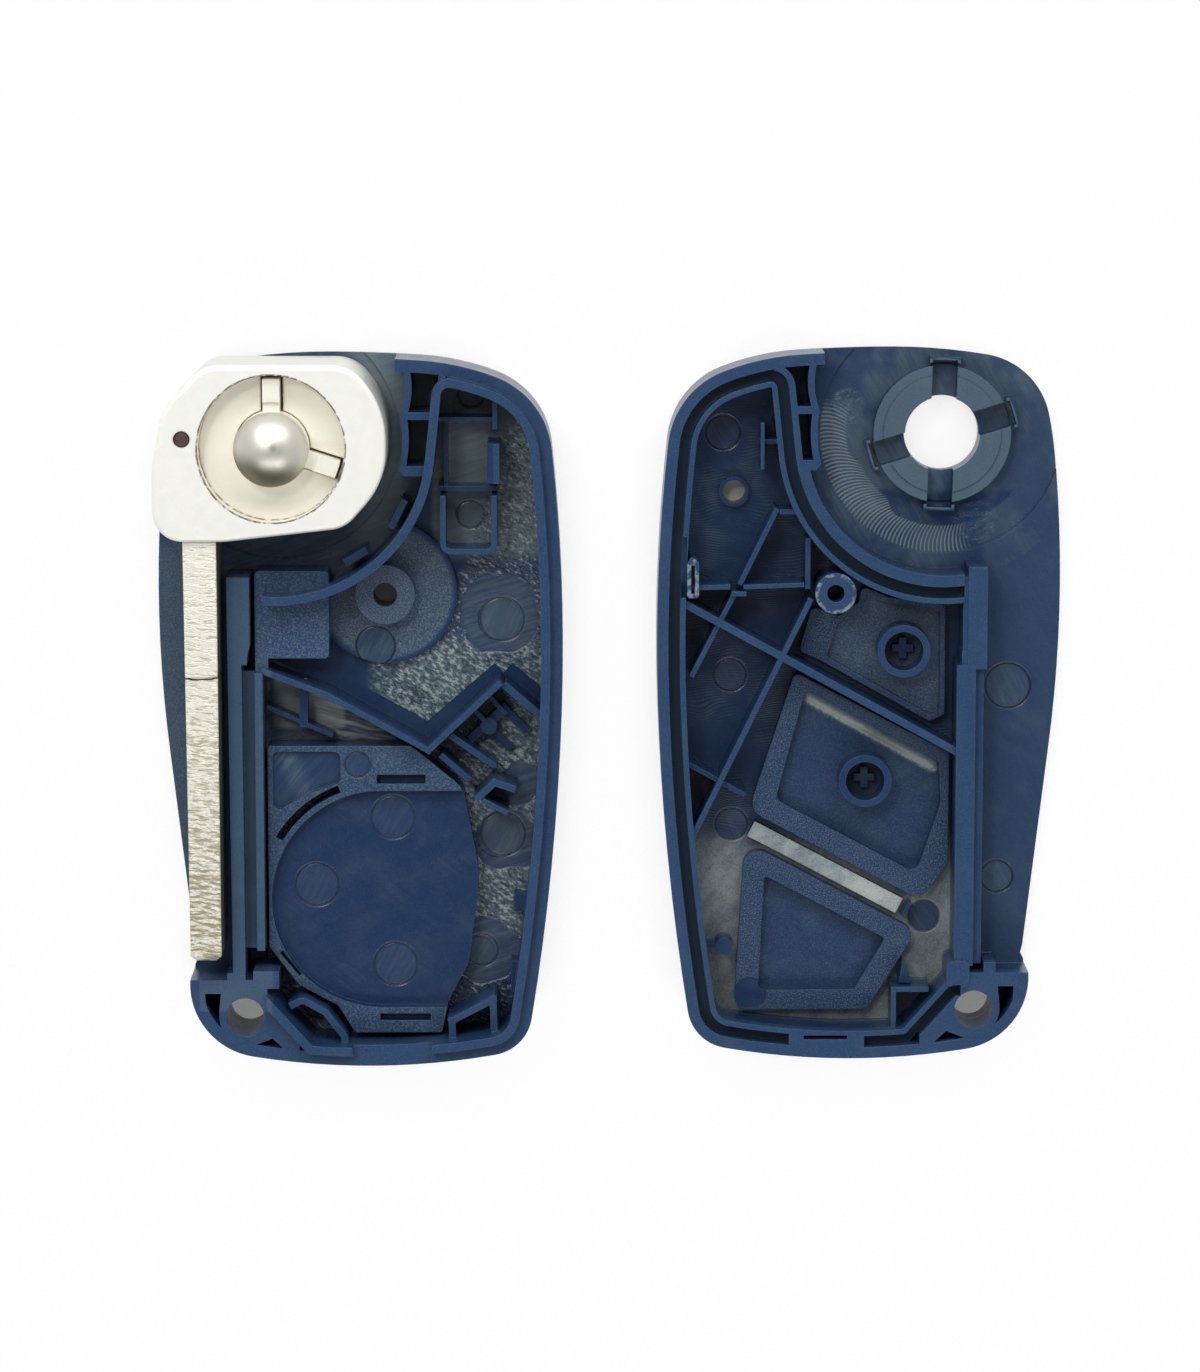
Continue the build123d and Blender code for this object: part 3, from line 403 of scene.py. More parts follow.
class Shader(Nodes):
    """A material's nodes, with the masks and textures that are laid out in a half's plan."""

    def __init__(self, name):
        self.material = bpy.data.materials.new(name)
        self.material.use_nodes = True
        super().__init__(self.material.node_tree)
        self.surface = self.node("ShaderNodeBsdfPrincipled")
        self.output = self.node("ShaderNodeOutputMaterial").inputs["Surface"]
        self.put(self.surface.outputs["BSDF"], self.output)

    def half_plan(self, hub, side):
        """Place in millimetres from a half's hub axis, U to its closed flank and V to its head end."""
        return self.mapping(
            self.node("ShaderNodeTexCoord").outputs["Object"],
            Scale=(side / MM, 1 / MM, 1 / MM),
            Location=(-side * hub.x / MM, -hub.y / MM, 0.0),
        )

    def back_plan(self):
        return self.half_plan(BACK_HUB, 1)

    def front_plan(self):
        return self.half_plan(FRONT_HUB, -1)

    def mapping(self, place, **settings):
        made = self.node("ShaderNodeMapping")
        self.put(place, made.inputs["Vector"])
        for name, value in settings.items():
            made.inputs[name].default_value = value
        return made.outputs["Vector"]

    def noise(self, place, scale, detail=2.0, roughness=0.5, distortion=0.0, output="Fac"):
        made = self.node("ShaderNodeTexNoise")
        self.put(place, made.inputs["Vector"])
        made.inputs["Scale"].default_value = scale
        made.inputs["Detail"].default_value = detail
        made.inputs["Roughness"].default_value = roughness
        made.inputs["Distortion"].default_value = distortion
        return made.outputs[output]

    def stretch(self, place, factors, turn=0.0):
        """The place turned about Z and scaled by its own factor along each axis."""
        turned = self.mapping(place, Rotation=(0.0, 0.0, radians(-turn)))
        return self.mapping(turned, Scale=factors)

    def bent(self, place, scale, amount):
        """The place pushed about, by up to half the amount, so that straight patterns wander."""
        push = self.noise(place, scale, detail=1.0, output="Color")
        centred = self.vector("SUBTRACT", push, (0.5, 0.5, 0.5))
        return self.vector("MULTIPLY_ADD", centred, (amount, amount, amount), place)

    def lines(self, place, pitch, turn, run=12.0):
        """Broken parallel lines, from 0 to 1, about as many times longer than wide as the run."""
        long = self.stretch(place, (1 / (pitch * run), 1 / pitch, 1.0), turn)
        return self.rise(self.noise(long, scale=0.5, detail=3.0, roughness=0.65), 0.4, 0.66)

    def reach(self, place, centre):
        """Distance in the plan from a centre."""
        across, along, _ = self.split(place)
        across = self.math("SUBTRACT", across, centre[0])
        along = self.math("SUBTRACT", along, centre[1])
        return self.math("SQRT", self.add(self.times(along, along), (across, across)))

    def disc(self, place, centre, radius, soft):
        """1 inside a round patch and 0 outside."""
        return self.rise(self.reach(place, centre), radius + soft, radius - soft)

    def discs(self, place, spots, soft):
        """1 inside any of some round patches, given as U, V and radius."""
        return self.pool(*[self.disc(place, (u, v), radius, soft) for u, v, radius in spots])

    def patch(self, place, low, high, soft):
        """1 inside a rectangle of the plan, from its low to its high corner."""
        u, v, _ = self.split(place)
        return self.times(self.between(u, low[0], high[0], soft), self.between(v, low[1], high[1], soft))

    def beside(self, place, start, end, wide, soft=0.15):
        """1 within a width on the left of a straight run, seen along it from start to end."""
        u, v, _ = self.split(place)
        run = Vector(end) - Vector(start)
        ahead = run.normalized()
        du = self.math("SUBTRACT", u, start[0])
        dv = self.math("SUBTRACT", v, start[1])
        side = self.add(self.times(du, -ahead.y), (dv, ahead.x))
        along = self.add(self.times(du, ahead.x), (dv, ahead.y))
        past_ends = 0.3
        lengthwise = self.between(along, -past_ends, run.length + past_ends, soft)
        return self.times(self.between(side, 0.0, wide, soft), lengthwise)

    def flat(self, z, level):
        """1 on a flat that lies at a level."""
        return self.between(z, level - 0.05, level + 0.1, 0.04)

    def open_above(self, distance):
        """1 where nothing stands near a surface, falling to 0 in deep corners."""
        made = self.node("ShaderNodeAmbientOcclusion", samples=RAYS)
        made.inputs["Distance"].default_value = distance
        return made.outputs["AO"]

    def rounded(self, radius):
        """The surface's normal, as if every edge had a small radius."""
        bevel = self.node("ShaderNodeBevel", samples=RAYS)
        bevel.inputs["Radius"].default_value = radius
        return bevel.outputs[0]

    def edges(self, normal):
        """1 on edges, where the rounded normal turns from the face's own, and 0 on flat faces."""
        own = self.node("ShaderNodeNewGeometry").outputs["True Normal"]
        flat_cosine, edge_cosine = 0.995, 0.8
        return self.rise(self.vector("DOT_PRODUCT", normal, own), flat_cosine, edge_cosine)

    def relief(self, height_microns, normal=None):
        """Bump from a height in microns, over the rounded normal where one is given."""
        bump = self.node("ShaderNodeBump")
        bump.inputs["Distance"].default_value = MICRON
        self.put(height_microns, bump.inputs["Height"])
        if normal:
            self.put(normal, bump.inputs["Normal"])
        self.put(bump.outputs[0], self.surface.inputs["Normal"])

    def coat(self, colour, roughness, metallic=0.0):
        """The surface's colour, roughness and share of metal."""
        for name, value in (("Base Color", colour), ("Roughness", roughness), ("Metallic", metallic)):
            self.put(value, self.surface.inputs[name])


def give(names, material):
    """The material on every slot of the named CAD nodes."""
    for name in names:
        mesh = frame["nodes"][name].data
        mesh.materials.clear()
        mesh.materials.append(material)


class Finish:
    """How the mould finished one piece: masks from 0 to 1, which the piece's own maker fills in."""

    def __init__(self, shader, place, settings):
        self.settings = settings
        self.place = place
        self.u, self.v, self.z = shader.split(place)
        self.floor = shader.rise(self.z, FLOOR + 0.35, FLOOR + 0.2)
        # Textures: the cutter's scallops, close ones, polishing lines, grain, frost with painted sheen and
        # wandering lines
        self.ripples = 0.0
        self.dense = 0.0
        self.brushed = 0.0
        self.pebbles = 0.0
        self.frost_and_sheen = 0.0
        self.contours = 0.0
        # Colours: the dull film with painted sheen, the pale scuffs with painted glints and light, and
        # painted shade, and a height in microns
        self.film_and_sheen = 0.0
        self.scuff_and_glint = 0.0
        self.shade = 0.0
        self.height = 0.0
        # The polishing lines' turn in degrees, and the ejector marks with their film and their levels
        self.brush_turn = 18.0
        self.marks = ()
        self.mark_film = 0.25
        self.mark_levels = ()


def pin_marks(shader, finish):
    """The discs that ejector pins leave, and the thin grooves round them."""
    insides, grooves = [], []
    for u, v, radius in finish.marks:
        away = shader.math("SUBTRACT", shader.reach(finish.place, (u, v)), radius)
        insides.append(shader.rise(away, 0.0, -0.12))
        grooves.append(shader.between(away, -0.1, 0.12, 0.1))
    level = shader.pool(*[shader.between(finish.z, low, high, 0.03) for low, high in finish.mark_levels])
    return shader.times(shader.pool(*insides), level), shader.times(shader.pool(*grooves), level)


def scallops(shader, finish):
    """Noise stretched along the cutter's way: its waves, painted glints on their crests and painted shade in
    their troughs.
    """
    pitch = finish.settings.ripple_pitch / MM
    stretched = shader.stretch(finish.place, (0.55 / pitch, 1 / pitch, 1.0), turn=-32.0)
    wave = shader.noise(stretched, scale=1.0, detail=2.0, roughness=0.6)
    sparse_above, dense_above = 0.56, 0.5
    level = shader.math("SUBTRACT", wave, shader.weigh(finish.dense, sparse_above, dense_above))
    crest = shader.times(shader.rise(level, 0.0, 0.13), finish.ripples)
    trough_shade = shader.times(shader.rise(wave, 0.47, 0.36), finish.ripples)
    return wave, crest, trough_shade


def frosting(shader, finish, coarse):
    """Matt frost and painted sheen, thicker in satin clouds and on its coarse grain."""
    stretched = shader.stretch(finish.place, (0.6, 0.3, 1.0), turn=40.0)
    satin = shader.noise(stretched, scale=1.0, detail=3.0, roughness=0.6)
    frost_and_sheen = shader.add(0.3, (shader.rise(satin, 0.35, 0.65), 0.25), (shader.rise(coarse, 0.38, 0.66), 0.2))
    return shader.times(frost_and_sheen, finish.frost_and_sheen)


def wandering_lines(shader, finish, clouds):
    """A sine wave over the bent plan's V, one line to a step, that fades out between clouds."""
    bends = shader.split(shader.bent(finish.place, scale=0.22, amount=2.2))[1]
    wave = shader.math("SINE", shader.times(bends, 2 * pi * MM / finish.settings.contour_pitch))
    return shader.times(shader.rise(wave, -0.4, 0.9), finish.contours, shader.rise(clouds, 0.38, 0.6))


def moulded_plastic(name, settings, plan, lay_finish):
    """Navy plastic with the scallops, polishing lines, grain and pin marks of its mould, and painted sheen,
    glints, highlights and shade.
    """
    shader = Shader(name)
    place = plan(shader)
    finish = Finish(shader, place, settings)
    lay_finish(shader, finish)
    clouds = shader.noise(place, scale=0.22, detail=4.0, roughness=0.6)
    streaks = shader.lines(place, pitch=0.9, turn=24.0, run=8.0)
    wave, crest, trough_shade = scallops(shader, finish)
    brush = shader.times(shader.lines(place, settings.brush_pitch / MM, finish.brush_turn), finish.brushed)
    raised = shader.rise(finish.z, *PALE_WALLS)
    grain = shader.noise(place, scale=MM / settings.pebble_pitch, detail=1.0)
    pebbles = shader.pool(finish.pebbles, shader.add(0.1, (raised, 0.2)))
    specks = shader.times(shader.rise(grain, 0.46, 0.68), pebbles)
    coarse = shader.noise(place, scale=6.0, detail=2.0, roughness=0.6)
    frost_and_sheen = frosting(shader, finish, coarse)
    contour = wandering_lines(shader, finish, clouds)

    # Dull film and painted sheen on clouds, streaks, scallops, polishing lines, grain specks and wandering
    # lines
    film_and_sheen = shader.add(
        finish.film_and_sheen,
        (shader.rise(clouds, 0.45, 0.7), 0.1),
        (streaks, 0.04),
        (finish.ripples, shader.weigh(finish.dense, 0.25, 0.9)),
        (finish.brushed, 0.3),
        (specks, 0.6),
        (contour, 0.3),
    )
    # Pale scuffs and painted glints on scallop crests, polishing lines, grain specks, wandering lines and
    # frost
    scuff_and_glint = shader.add(
        finish.scuff_and_glint, (crest, 0.62), (brush, 0.11), (specks, 0.09), (contour, 0.02), (frost_and_sheen, 1.0),
    )
    microns = shader.add(
        finish.height,
        (wave, shader.times(finish.ripples, settings.ripple_depth / MICRON)),
        (brush, 5.0),
        (grain, shader.times(pebbles, 26.0)),
        (coarse, shader.times(finish.frost_and_sheen, 30.0)),
        (streaks, 3.0),
        (contour, 7.0),
    )
    groove = 0.0
    if finish.marks:
        inside, groove = pin_marks(shader, finish)
        scratches = shader.times(shader.lines(place, pitch=0.2, turn=62.0, run=9.0), inside)
        film_and_sheen = shader.add(film_and_sheen, (inside, finish.mark_film))
        scuff_and_glint = shader.times(scuff_and_glint, shader.add(1.0, (inside, -1.0)))
        scuff_and_glint = shader.add(scuff_and_glint, (scratches, finish.mark_film * 0.25))
        microns = shader.add(microns, (scratches, 8.0), (groove, -50.0))

    colour = shader.blend(shader.math("MAXIMUM", film_and_sheen, 0.0), settings.navy, settings.film_and_sheen)
    colour = shader.blend(shader.math("MINIMUM", scuff_and_glint, 0.9), colour, settings.scuff_and_glint)
    # Painted shade in deep corners, in the grooves round the pin marks, in the scallops' troughs and where
    # the piece sets its shade
    corners = shader.rise(shader.open_above(CORNER_REACH), 0.7, 0.1)
    painted_shade = shader.pool(
        shader.times(corners, 0.5), shader.times(groove, 0.5), shader.times(trough_shade, 0.6), finish.shade,
    )
    colour = shader.blend(painted_shade, colour, settings.corner_shade)
    # Painted highlight on the rounded edges, and walls paler towards their tops
    normal = shader.rounded(settings.edge_round)
    rim_highlight = shader.times(shader.edges(normal), shader.rise(finish.z, *HIGHLIT_EDGES))
    paler_and_highlit = shader.pool(shader.times(raised, 0.18), shader.times(rim_highlight, 0.8))
    colour = shader.blend(paler_and_highlit, colour, settings.edge)

    wear = shader.noise(place, scale=0.7, detail=4.0, roughness=0.6)
    worn = shader.add(settings.gloss_roughness - 0.1, (wear, 0.2))
    rough = shader.add(shader.weigh(finish.ripples, worn, 0.22), (finish.pebbles, 0.12))
    shader.coat(colour, rough)
    shader.surface.inputs["Specular IOR Level"].default_value = 0.4
    shader.relief(microns, normal)
    return shader.material


def back_finish(shader, finish):
    """Scallops down the closed flank, polished round the pin marks, and grain on the raised flats."""
    place, u, v, z, floor = finish.place, finish.u, finish.v, finish.z, finish.floor
    away = shader.reach(place, HUB)
    uneven = shader.bent(place, scale=0.3, amount=3.0)
    under_arm = shader.rise(shader.add(v, (u, ARM_SLOPE)), -22.6, -23.2)
    bay = shader.times(shader.rise(u, 15.0, 16.0), shader.rise(v, -13.0, -11.0))
    chamber = shader.disc(place, HUB, CHAMBER_RADIUS, 0.4)
    polished = shader.pool(
        shader.discs(uneven, BACK_POLISH, 0.5),
        shader.times(shader.patch(uneven, *UNDER_ARM_POLISH, 0.5), under_arm),
    )
    # Scallops fill the closed flank and the foot, but for the polished spots and strips by the arms
    below = shader.rise(v, -19.5, -21.5)
    closed_flank = shader.rise(shader.add(u, (v, -0.33)), 22.2, 23.6)
    arms = [shader.beside(place, start, end, 1.7) for start, end in zip(ARM_CORNERS, ARM_CORNERS[1:])]
    rippled = shader.times(
        shader.pool(closed_flank, below),
        shader.rise(polished, 0.7, 0.3),
        shader.pool(shader.rise(u, 8.5, 11.0), under_arm),
        shader.rise(u, -1.8, -1.4),
        shader.rise(away, CHAMBER_RADIUS, CHAMBER_RADIUS + 0.6),
        shader.rise(shader.pool(*arms), 0.8, 0.2),
    )
    finish.ripples = shader.times(rippled, floor)
    finish.dense = shader.times(below, shader.rise(v, -52.0, -49.0))
    brushed = shader.pool(polished, bay, shader.times(chamber, 0.7))
    finish.brushed = shader.times(brushed, floor, shader.rise(rippled, 0.7, 0.3))

    # Grain on the screw's plateau, the head block and the open flank
    plateau_height = shader.between(z, PLATEAU - 0.1, SCREW_BOSS + 0.2, 0.05)
    plateau = shader.times(shader.disc(place, SCREW, 6.75, 0.3), plateau_height)
    head_block = shader.times(shader.flat(z, HEAD_BLOCK), shader.rise(u, 6.0, 5.4))
    flank = shader.times(shader.rise(u, -8.9, -9.4), shader.rise(v, -9.0, -12.0))
    finish.pebbles = shader.pool(plateau, head_block, shader.times(flank, 0.6))

    # Dull film with painted sheen in the bay, beside the blade and on the flank, and painted light in the
    # side pockets
    dull = shader.times(shader.pool(bay, chamber), floor, shader.rise(u, 6.0, 10.0))
    pockets = shader.times(shader.patch(place, *SIDE_POCKETS, 0.2), floor)
    guides = shader.pool(*[shader.patch(place, low, high, 0.1) for low, high in BLADE_GUIDES])
    blade_side = shader.times(guides, shader.rise(z, 4.0, 5.5))
    film_and_sheen = shader.pool(shader.add(shader.times(plateau, 0.3), (dull, 0.7)), pockets)
    finish.film_and_sheen = shader.add(film_and_sheen, (shader.pool(blade_side, flank), 0.4))

    # Painted light beside the head and in the pockets and bay, and painted glints on glossy windows and
    # streaks under the long arm
    head_side_light = shader.times(shader.rise(away, 13.6, 11.0), dull)
    window_glints = shader.times(shader.patch(place, *UNDER_ARM_WINDOWS, 0.3), under_arm, floor)
    streaks = shader.lines(shader.bent(place, scale=0.2, amount=1.5), pitch=0.3, turn=-12.0, run=16.0)
    streaks = shader.times(streaks, shader.patch(uneven, *UNDER_ARM_STREAKS, 0.8), under_arm, floor)
    finish.scuff_and_glint = shader.add(
        0.0, (pockets, 0.1), (dull, 0.08), (head_side_light, 0.14), (window_glints, 0.45), (streaks, 0.85),
    )
    finish.marks = BACK_MARKS
    finish.mark_levels = (FLOOR_LEVELS, PLATEAU_LEVELS)


def tray_finish(shader, finish):
    """Smooth navy dish with faint scratches, a brushed recess and a grained border."""
    place, z = finish.place, finish.z
    border = shader.flat(z, TRAY_TOP)
    finish.pebbles = shader.times(border, 0.8)
    finish.film_and_sheen = shader.times(border, 0.05)
    sunk = shader.rise(z, TRAY_TOP - 0.2, TRAY_TOP - 0.3)
    recess = shader.times(shader.patch(place, *TRAY_RECESS, 0.1), sunk)
    sheen = shader.beside(place, (4.0, -37.0), (1.4, -31.0), wide=1.6, soft=0.8)
    finish.brushed = shader.times(recess, shader.add(0.25, (sheen, 0.8)))
    finish.brush_turn = 50.0
    scratches = shader.lines(place, pitch=0.3, turn=-38.0, run=14.0)
    sparse = shader.rise(shader.noise(place, scale=0.25), 0.5, 0.7)
    finish.scuff_and_glint = shader.times(scratches, sparse, 0.025)
    finish.marks = TRAY_MARKS
    finish.mark_film = 0.11
    finish.mark_levels = (DISH_LEVELS, TRAY_LEVELS)


def front_finish(shader, finish):
    """Cutter's arcs and polish in the chamber, wandering lines round the caps, frost with painted sheen by
    the foot and on the strip, painted shade in the groove.
    """
    place, u, v, z, floor = finish.place, finish.u, finish.v, finish.z, finish.floor
    away = shader.reach(place, HUB)
    chamber = shader.times(shader.rise(away, CHAMBER_RADIUS + 0.2, CHAMBER_RADIUS - 0.2), floor)
    open_side = shader.times(shader.rise(u, -4.2, -4.8), floor)
    bay = shader.times(shader.rise(away, 16.5, 17.0), shader.rise(u, -1.8, -1.2), floor)
    foot = shader.times(shader.rise(v, -39.5, -43.0), bay)
    strip = shader.times(shader.flat(z, FRONT_STRIP), shader.rise(v, -37.0, -39.0))
    ring_top = shader.rise(z, FRONT_RING - 0.45, FRONT_RING - 0.25)
    ring = shader.times(shader.disc(place, HUB, 7.6, 0.1), ring_top)
    arcs = shader.times(cutter_arcs(shader, finish), chamber)

    finish.frost_and_sheen = shader.pool(shader.times(foot, 0.9), strip)
    finish.contours = shader.times(bay, shader.rise(foot, 0.8, 0.2))
    finish.pebbles = shader.times(ring, 0.25)
    patches = shader.rise(shader.noise(place, scale=0.16, detail=3.0, roughness=0.6), 0.42, 0.6)
    polish = shader.times(chamber, patches, shader.rise(arcs, 0.1, 0.0))
    finish.brushed = shader.pool(shader.times(polish, 0.5), shader.times(open_side, 0.07))
    finish.brush_turn = 62.0

    # Worn film with painted sheen in the chamber, but for a quiet patch below the ring
    quiet = shader.times(shader.rise(away, 9.6, 9.3), shader.between(v, -10.0, -6.0, 0.5), chamber)
    worn = shader.times(chamber, shader.rise(away, CHAMBER_RADIUS, 11.5), shader.rise(u, -11.0, -4.0))
    film_and_sheen = shader.times(shader.add(0.14, (patches, 0.15)), worn)
    finish.film_and_sheen = shader.add(film_and_sheen, (strip, 0.3), (ring, 0.6), (open_side, 0.12), (quiet, -0.3), (arcs, 0.8))

    # Ragged flash on the eye's and the loop's tops, and a painted highlight at the strip's end
    rim_top = shader.rise(z, FRONT_RIM - 0.1, FRONT_RIM - 0.01)
    eye = shader.between(shader.reach(place, SCREW), 1.7, 2.1, 0.12)
    loop = shader.patch(place, *FRONT_LOOP, 0.1)
    ragged = shader.rise(shader.noise(place, scale=1.7, roughness=0.6), 0.42, 0.6)
    flash = shader.times(shader.pool(eye, loop), rim_top, ragged)
    end_highlight = shader.times(strip, shader.rise(u, 13.0, 5.0))
    finish.scuff_and_glint = shader.add(0.0, (flash, 0.5), (arcs, 0.2), (end_highlight, 0.3), (ring, 0.02))

    # Painted shade on the groove's floor and in the bay
    groove = shader.between(z, GROOVE_FLOOR - 0.2, GROOVE_FLOOR + 0.1, 0.05)
    finish.shade = shader.pool(shader.times(groove, 0.85), shader.times(bay, 0.25))
    scars = shader.times(shader.discs(place, FRONT_SCARS, 0.3), chamber)
    rough = shader.times(shader.noise(place, scale=1.6, detail=3.0, roughness=0.7, distortion=0.6), scars)
    finish.height = shader.add(0.0, (rough, 160.0), (arcs, 26.0))
    finish.marks = FRONT_MARKS
    finish.mark_film = 0.16
    finish.mark_levels = (FLOOR_LEVELS,)


def cutter_arcs(shader, finish):
    """Nested half rings that a small cutter leaves as it is led round the chamber's floor.

    The crests are where the angle round the hub times the path's radius, less the half chord of
    the cutter at this distance from the path, is a whole number of steps.
    """
    away = shader.reach(finish.place, HUB)
    angle = shader.math("ARCTAN2", finish.v, finish.u)
    across = shader.math("SUBTRACT", away, CUTTER_PATH)
    square = shader.add(CUTTER_RADIUS * CUTTER_RADIUS, (shader.times(across, -1.0), across))
    chord = shader.math("SQRT", shader.math("MAXIMUM", square, 0.0))
    travel = shader.math("SUBTRACT", shader.times(angle, CUTTER_PATH), chord)
    wave = shader.math("SINE", shader.times(travel, 2 * pi * MM / finish.settings.cutter_pitch))
    crest = shader.rise(wave, -0.3, 1.0)
    turn = shader.between(angle, -0.98, -0.3, 0.12)
    inner = shader.rise(shader.add(away, (turn, 0.9)), 9.3, 9.7)
    return shader.times(
        crest, inner, shader.rise(away, 12.3, 12.0), shader.between(angle, -1.78, 0.24, 0.1),
    )


def cap_finish(shader, finish):
    """Grained flanges over smooth recesses, with a painted highlight on a slope in the middle one."""
    place, z = finish.place, finish.z
    recess = shader.rise(z, CAP_FLANGE - 0.3, CAP_FLANGE - 0.5)
    dotted = shader.times(shader.flat(z, TOP_CAP_RECESS), 0.7)
    flange = shader.times(shader.flat(z, CAP_FLANGE), 0.8)
    finish.pebbles = shader.pool(flange, dotted, shader.times(recess, 0.25))
    worn = shader.rise(shader.noise(place, scale=0.3, detail=3.0, roughness=0.6), 0.5, 0.68)
    finish.brushed = shader.times(worn, recess, 0.15)
    finish.brush_turn = -28.0
    finish.film_and_sheen = shader.add(0.0, (dotted, 0.25), (recess, 0.06))
    # Painted highlight on the middle cap's slope, a bright band within a fainter one
    ragged = shader.bent(place, scale=3.0, amount=0.4)
    bright = shader.beside(ragged, (12.9, -26.8), (0.3, -33.8), wide=0.7, soft=0.2)
    faint = shader.beside(ragged, (13.3, -26.1), (0.3, -33.3), wide=1.1, soft=0.5)
    slope = shader.add(0.0, (faint, 0.35), (bright, 0.5))
    finish.scuff_and_glint = shader.times(slope, shader.rise(z, CAP_FLANGE, CAP_FLANGE - 0.1))


class KEYFOB_OT_back_half(bpy.types.Operator):
    """Finish the back half and its battery tray"""

    bl_idname = "keyfob.back_half"
    bl_label = "Back Half"

    def execute(self, context):
        settings = context.scene.keyfob_plastic
        give(["back_shell"], moulded_plastic("back_plastic", settings, Shader.back_plan, back_finish))
        give(["battery_tray"], moulded_plastic("tray_plastic", settings, Shader.back_plan, tray_finish))
        return {"FINISHED"}


class KEYFOB_OT_front_half(bpy.types.Operator):
    """Finish the front half, with the cutter's arcs on its chamber floor"""

    bl_idname = "keyfob.front_half"
    bl_label = "Front Half"

    def execute(self, context):
        settings = context.scene.keyfob_plastic
        give(["front_shell"], moulded_plastic("front_plastic", settings, Shader.front_plan, front_finish))
        return {"FINISHED"}


class KEYFOB_OT_button_caps(bpy.types.Operator):
    """Finish the insides of the three button caps"""

    bl_idname = "keyfob.button_caps"
    bl_label = "Button Caps"

    def execute(self, context):
        settings = context.scene.keyfob_plastic
        give(CAP_NODES, moulded_plastic("cap_plastic", settings, Shader.front_plan, cap_finish))
        return {"FINISHED"}


def plated_casting(settings):
    """Bright plating over a soft casting, with painted grey-green shade on its sides and edges, browned at
    the well's foot and along its edge.
    """
    shader = Shader("plated_casting")
    place = shader.back_plan()
    z = shader.split(place)[2]
    soft = shader.noise(place, scale=0.9, detail=4.0, roughness=0.6)
    fine = shader.noise(place, scale=5.0, detail=3.0, roughness=0.6)
    wander = shader.add(-0.08, (shader.noise(place, scale=2.2), 0.16))
    ring = shader.math("ADD", shader.reach(place, HUB), wander)

    below_top = shader.rise(z, HEAD_TOP - 0.3, HEAD_TOP - 0.5)
    well = shader.times(shader.rise(ring, WELL_RADIUS + 0.05, WELL_RADIUS - 0.15), below_top)
    colour = shader.blend(well, settings.plating, settings.well)
    # Painted shade in grey-green on the head's sides
    side = shader.rise(z, HEAD_TOP - 0.6, HEAD_TOP - 1.3)
    side_shade = shader.times(side, shader.rise(ring, WELL_RADIUS + 0.15, WELL_RADIUS + 0.35))
    colour = shader.blend(shader.times(side_shade, 0.45), colour, settings.casting_and_shade)
    normal = shader.rounded(0.3 * MM)
    # Grey-green mottling at random, and painted shade along the edges
    blotches = shader.times(shader.rise(soft, 0.58, 0.78), 0.12)
    edge_shade = shader.times(shader.edges(normal), 0.45)
    colour = shader.blend(shader.pool(blotches, edge_shade), colour, settings.casting_and_shade)
    foot = shader.between(z, WELL_FLOOR - 0.05, WELL_FLOOR + 0.6, 0.15)
    brown = shader.times(
        shader.between(ring, WELL_RADIUS - 0.07, WELL_RADIUS + 0.13, 0.06),
        shader.pool(foot, shader.rise(z, HEAD_TOP - 0.6, HEAD_TOP - 0.3)),
        shader.rise(shader.noise(place, scale=1.4, detail=3.0, roughness=0.6), 0.35, 0.55),
    )
    colour = shader.blend(brown, colour, settings.brown_line)
    shader.coat(colour, shader.add(0.28, (soft, 0.2)), metallic=0.25)
    shader.relief(shader.add(0.0, (soft, 34.0), (fine, 5.0)), normal)
    return shader.material


def milled_blank(settings):
    """Nickel silver with painted shade in its wavy cross creases and grain, grainier and darker towards the
    tip, and painted shade on its sides and in a notch.
    """
    shader = Shader("milled_blank")
    place = shader.back_plan()
    u, v, z = shader.split(place)
    pitch = settings.mill_pitch / MM
    wavy = shader.stretch(shader.bent(place, scale=0.8, amount=0.5), (0.2 / pitch, 1 / pitch, 0.3), turn=-5.0)
    creases = shader.noise(wavy, scale=1.0, detail=3.0, roughness=0.65)
    grain = shader.noise(shader.stretch(place, (4.0, 8.0, 1.0)), scale=1.0, detail=3.0, roughness=0.7)
    tip = shader.rise(v, -12.0, -52.0)
    deeper = shader.add(creases, (tip, 0.05))
    # Painted shade in the creases and grain, stronger towards the tip
    lines = shader.times(shader.rise(deeper, 0.46, 0.64), shader.add(0.45, (tip, 0.5)))
    speckle = shader.times(shader.rise(grain, 0.44, 0.66), shader.add(0.1, (tip, 0.5)))
    colour = shader.blend(shader.pool(lines, speckle), settings.blank, settings.crease_shade)
    # Painted shade on the blank's sides
    colour = shader.blend(shader.rise(z, 12.3, 11.7), colour, settings.blank_side_shade)

    # Painted shade in a thin notch across the blank
    bend = shader.times(shader.rise(u, -8.6, -9.2), 1.3)
    along = shader.split(shader.bent(place, scale=0.9, amount=0.8))[1]
    step = shader.math("SUBTRACT", along, bend)
    notch = shader.times(shader.between(step, -23.0, -22.8, 0.07), shader.rise(u, -9.25, -9.1))
    colour = shader.blend(notch, colour, settings.notch)
    shader.coat(colour, shader.add(0.25, (grain, 0.25)), metallic=0.55)
    shader.relief(shader.add(0.0, (lines, -70.0), (grain, 30.0)), shader.rounded(0.2 * MM))
    return shader.material


def dull_pin(settings):
    """Brown-grey end of the cross pin."""
    shader = Shader("dull_pin")
    spots = shader.noise(shader.back_plan(), scale=3.0, detail=3.0, roughness=0.6)
    colour = shader.blend(spots, settings.pin_dark, settings.pin_pale)
    shader.coat(colour, shader.add(0.4, (spots, 0.2)), metallic=0.7)
    shader.relief(shader.times(spots, 6.0), shader.rounded(0.1 * MM))
    return shader.material


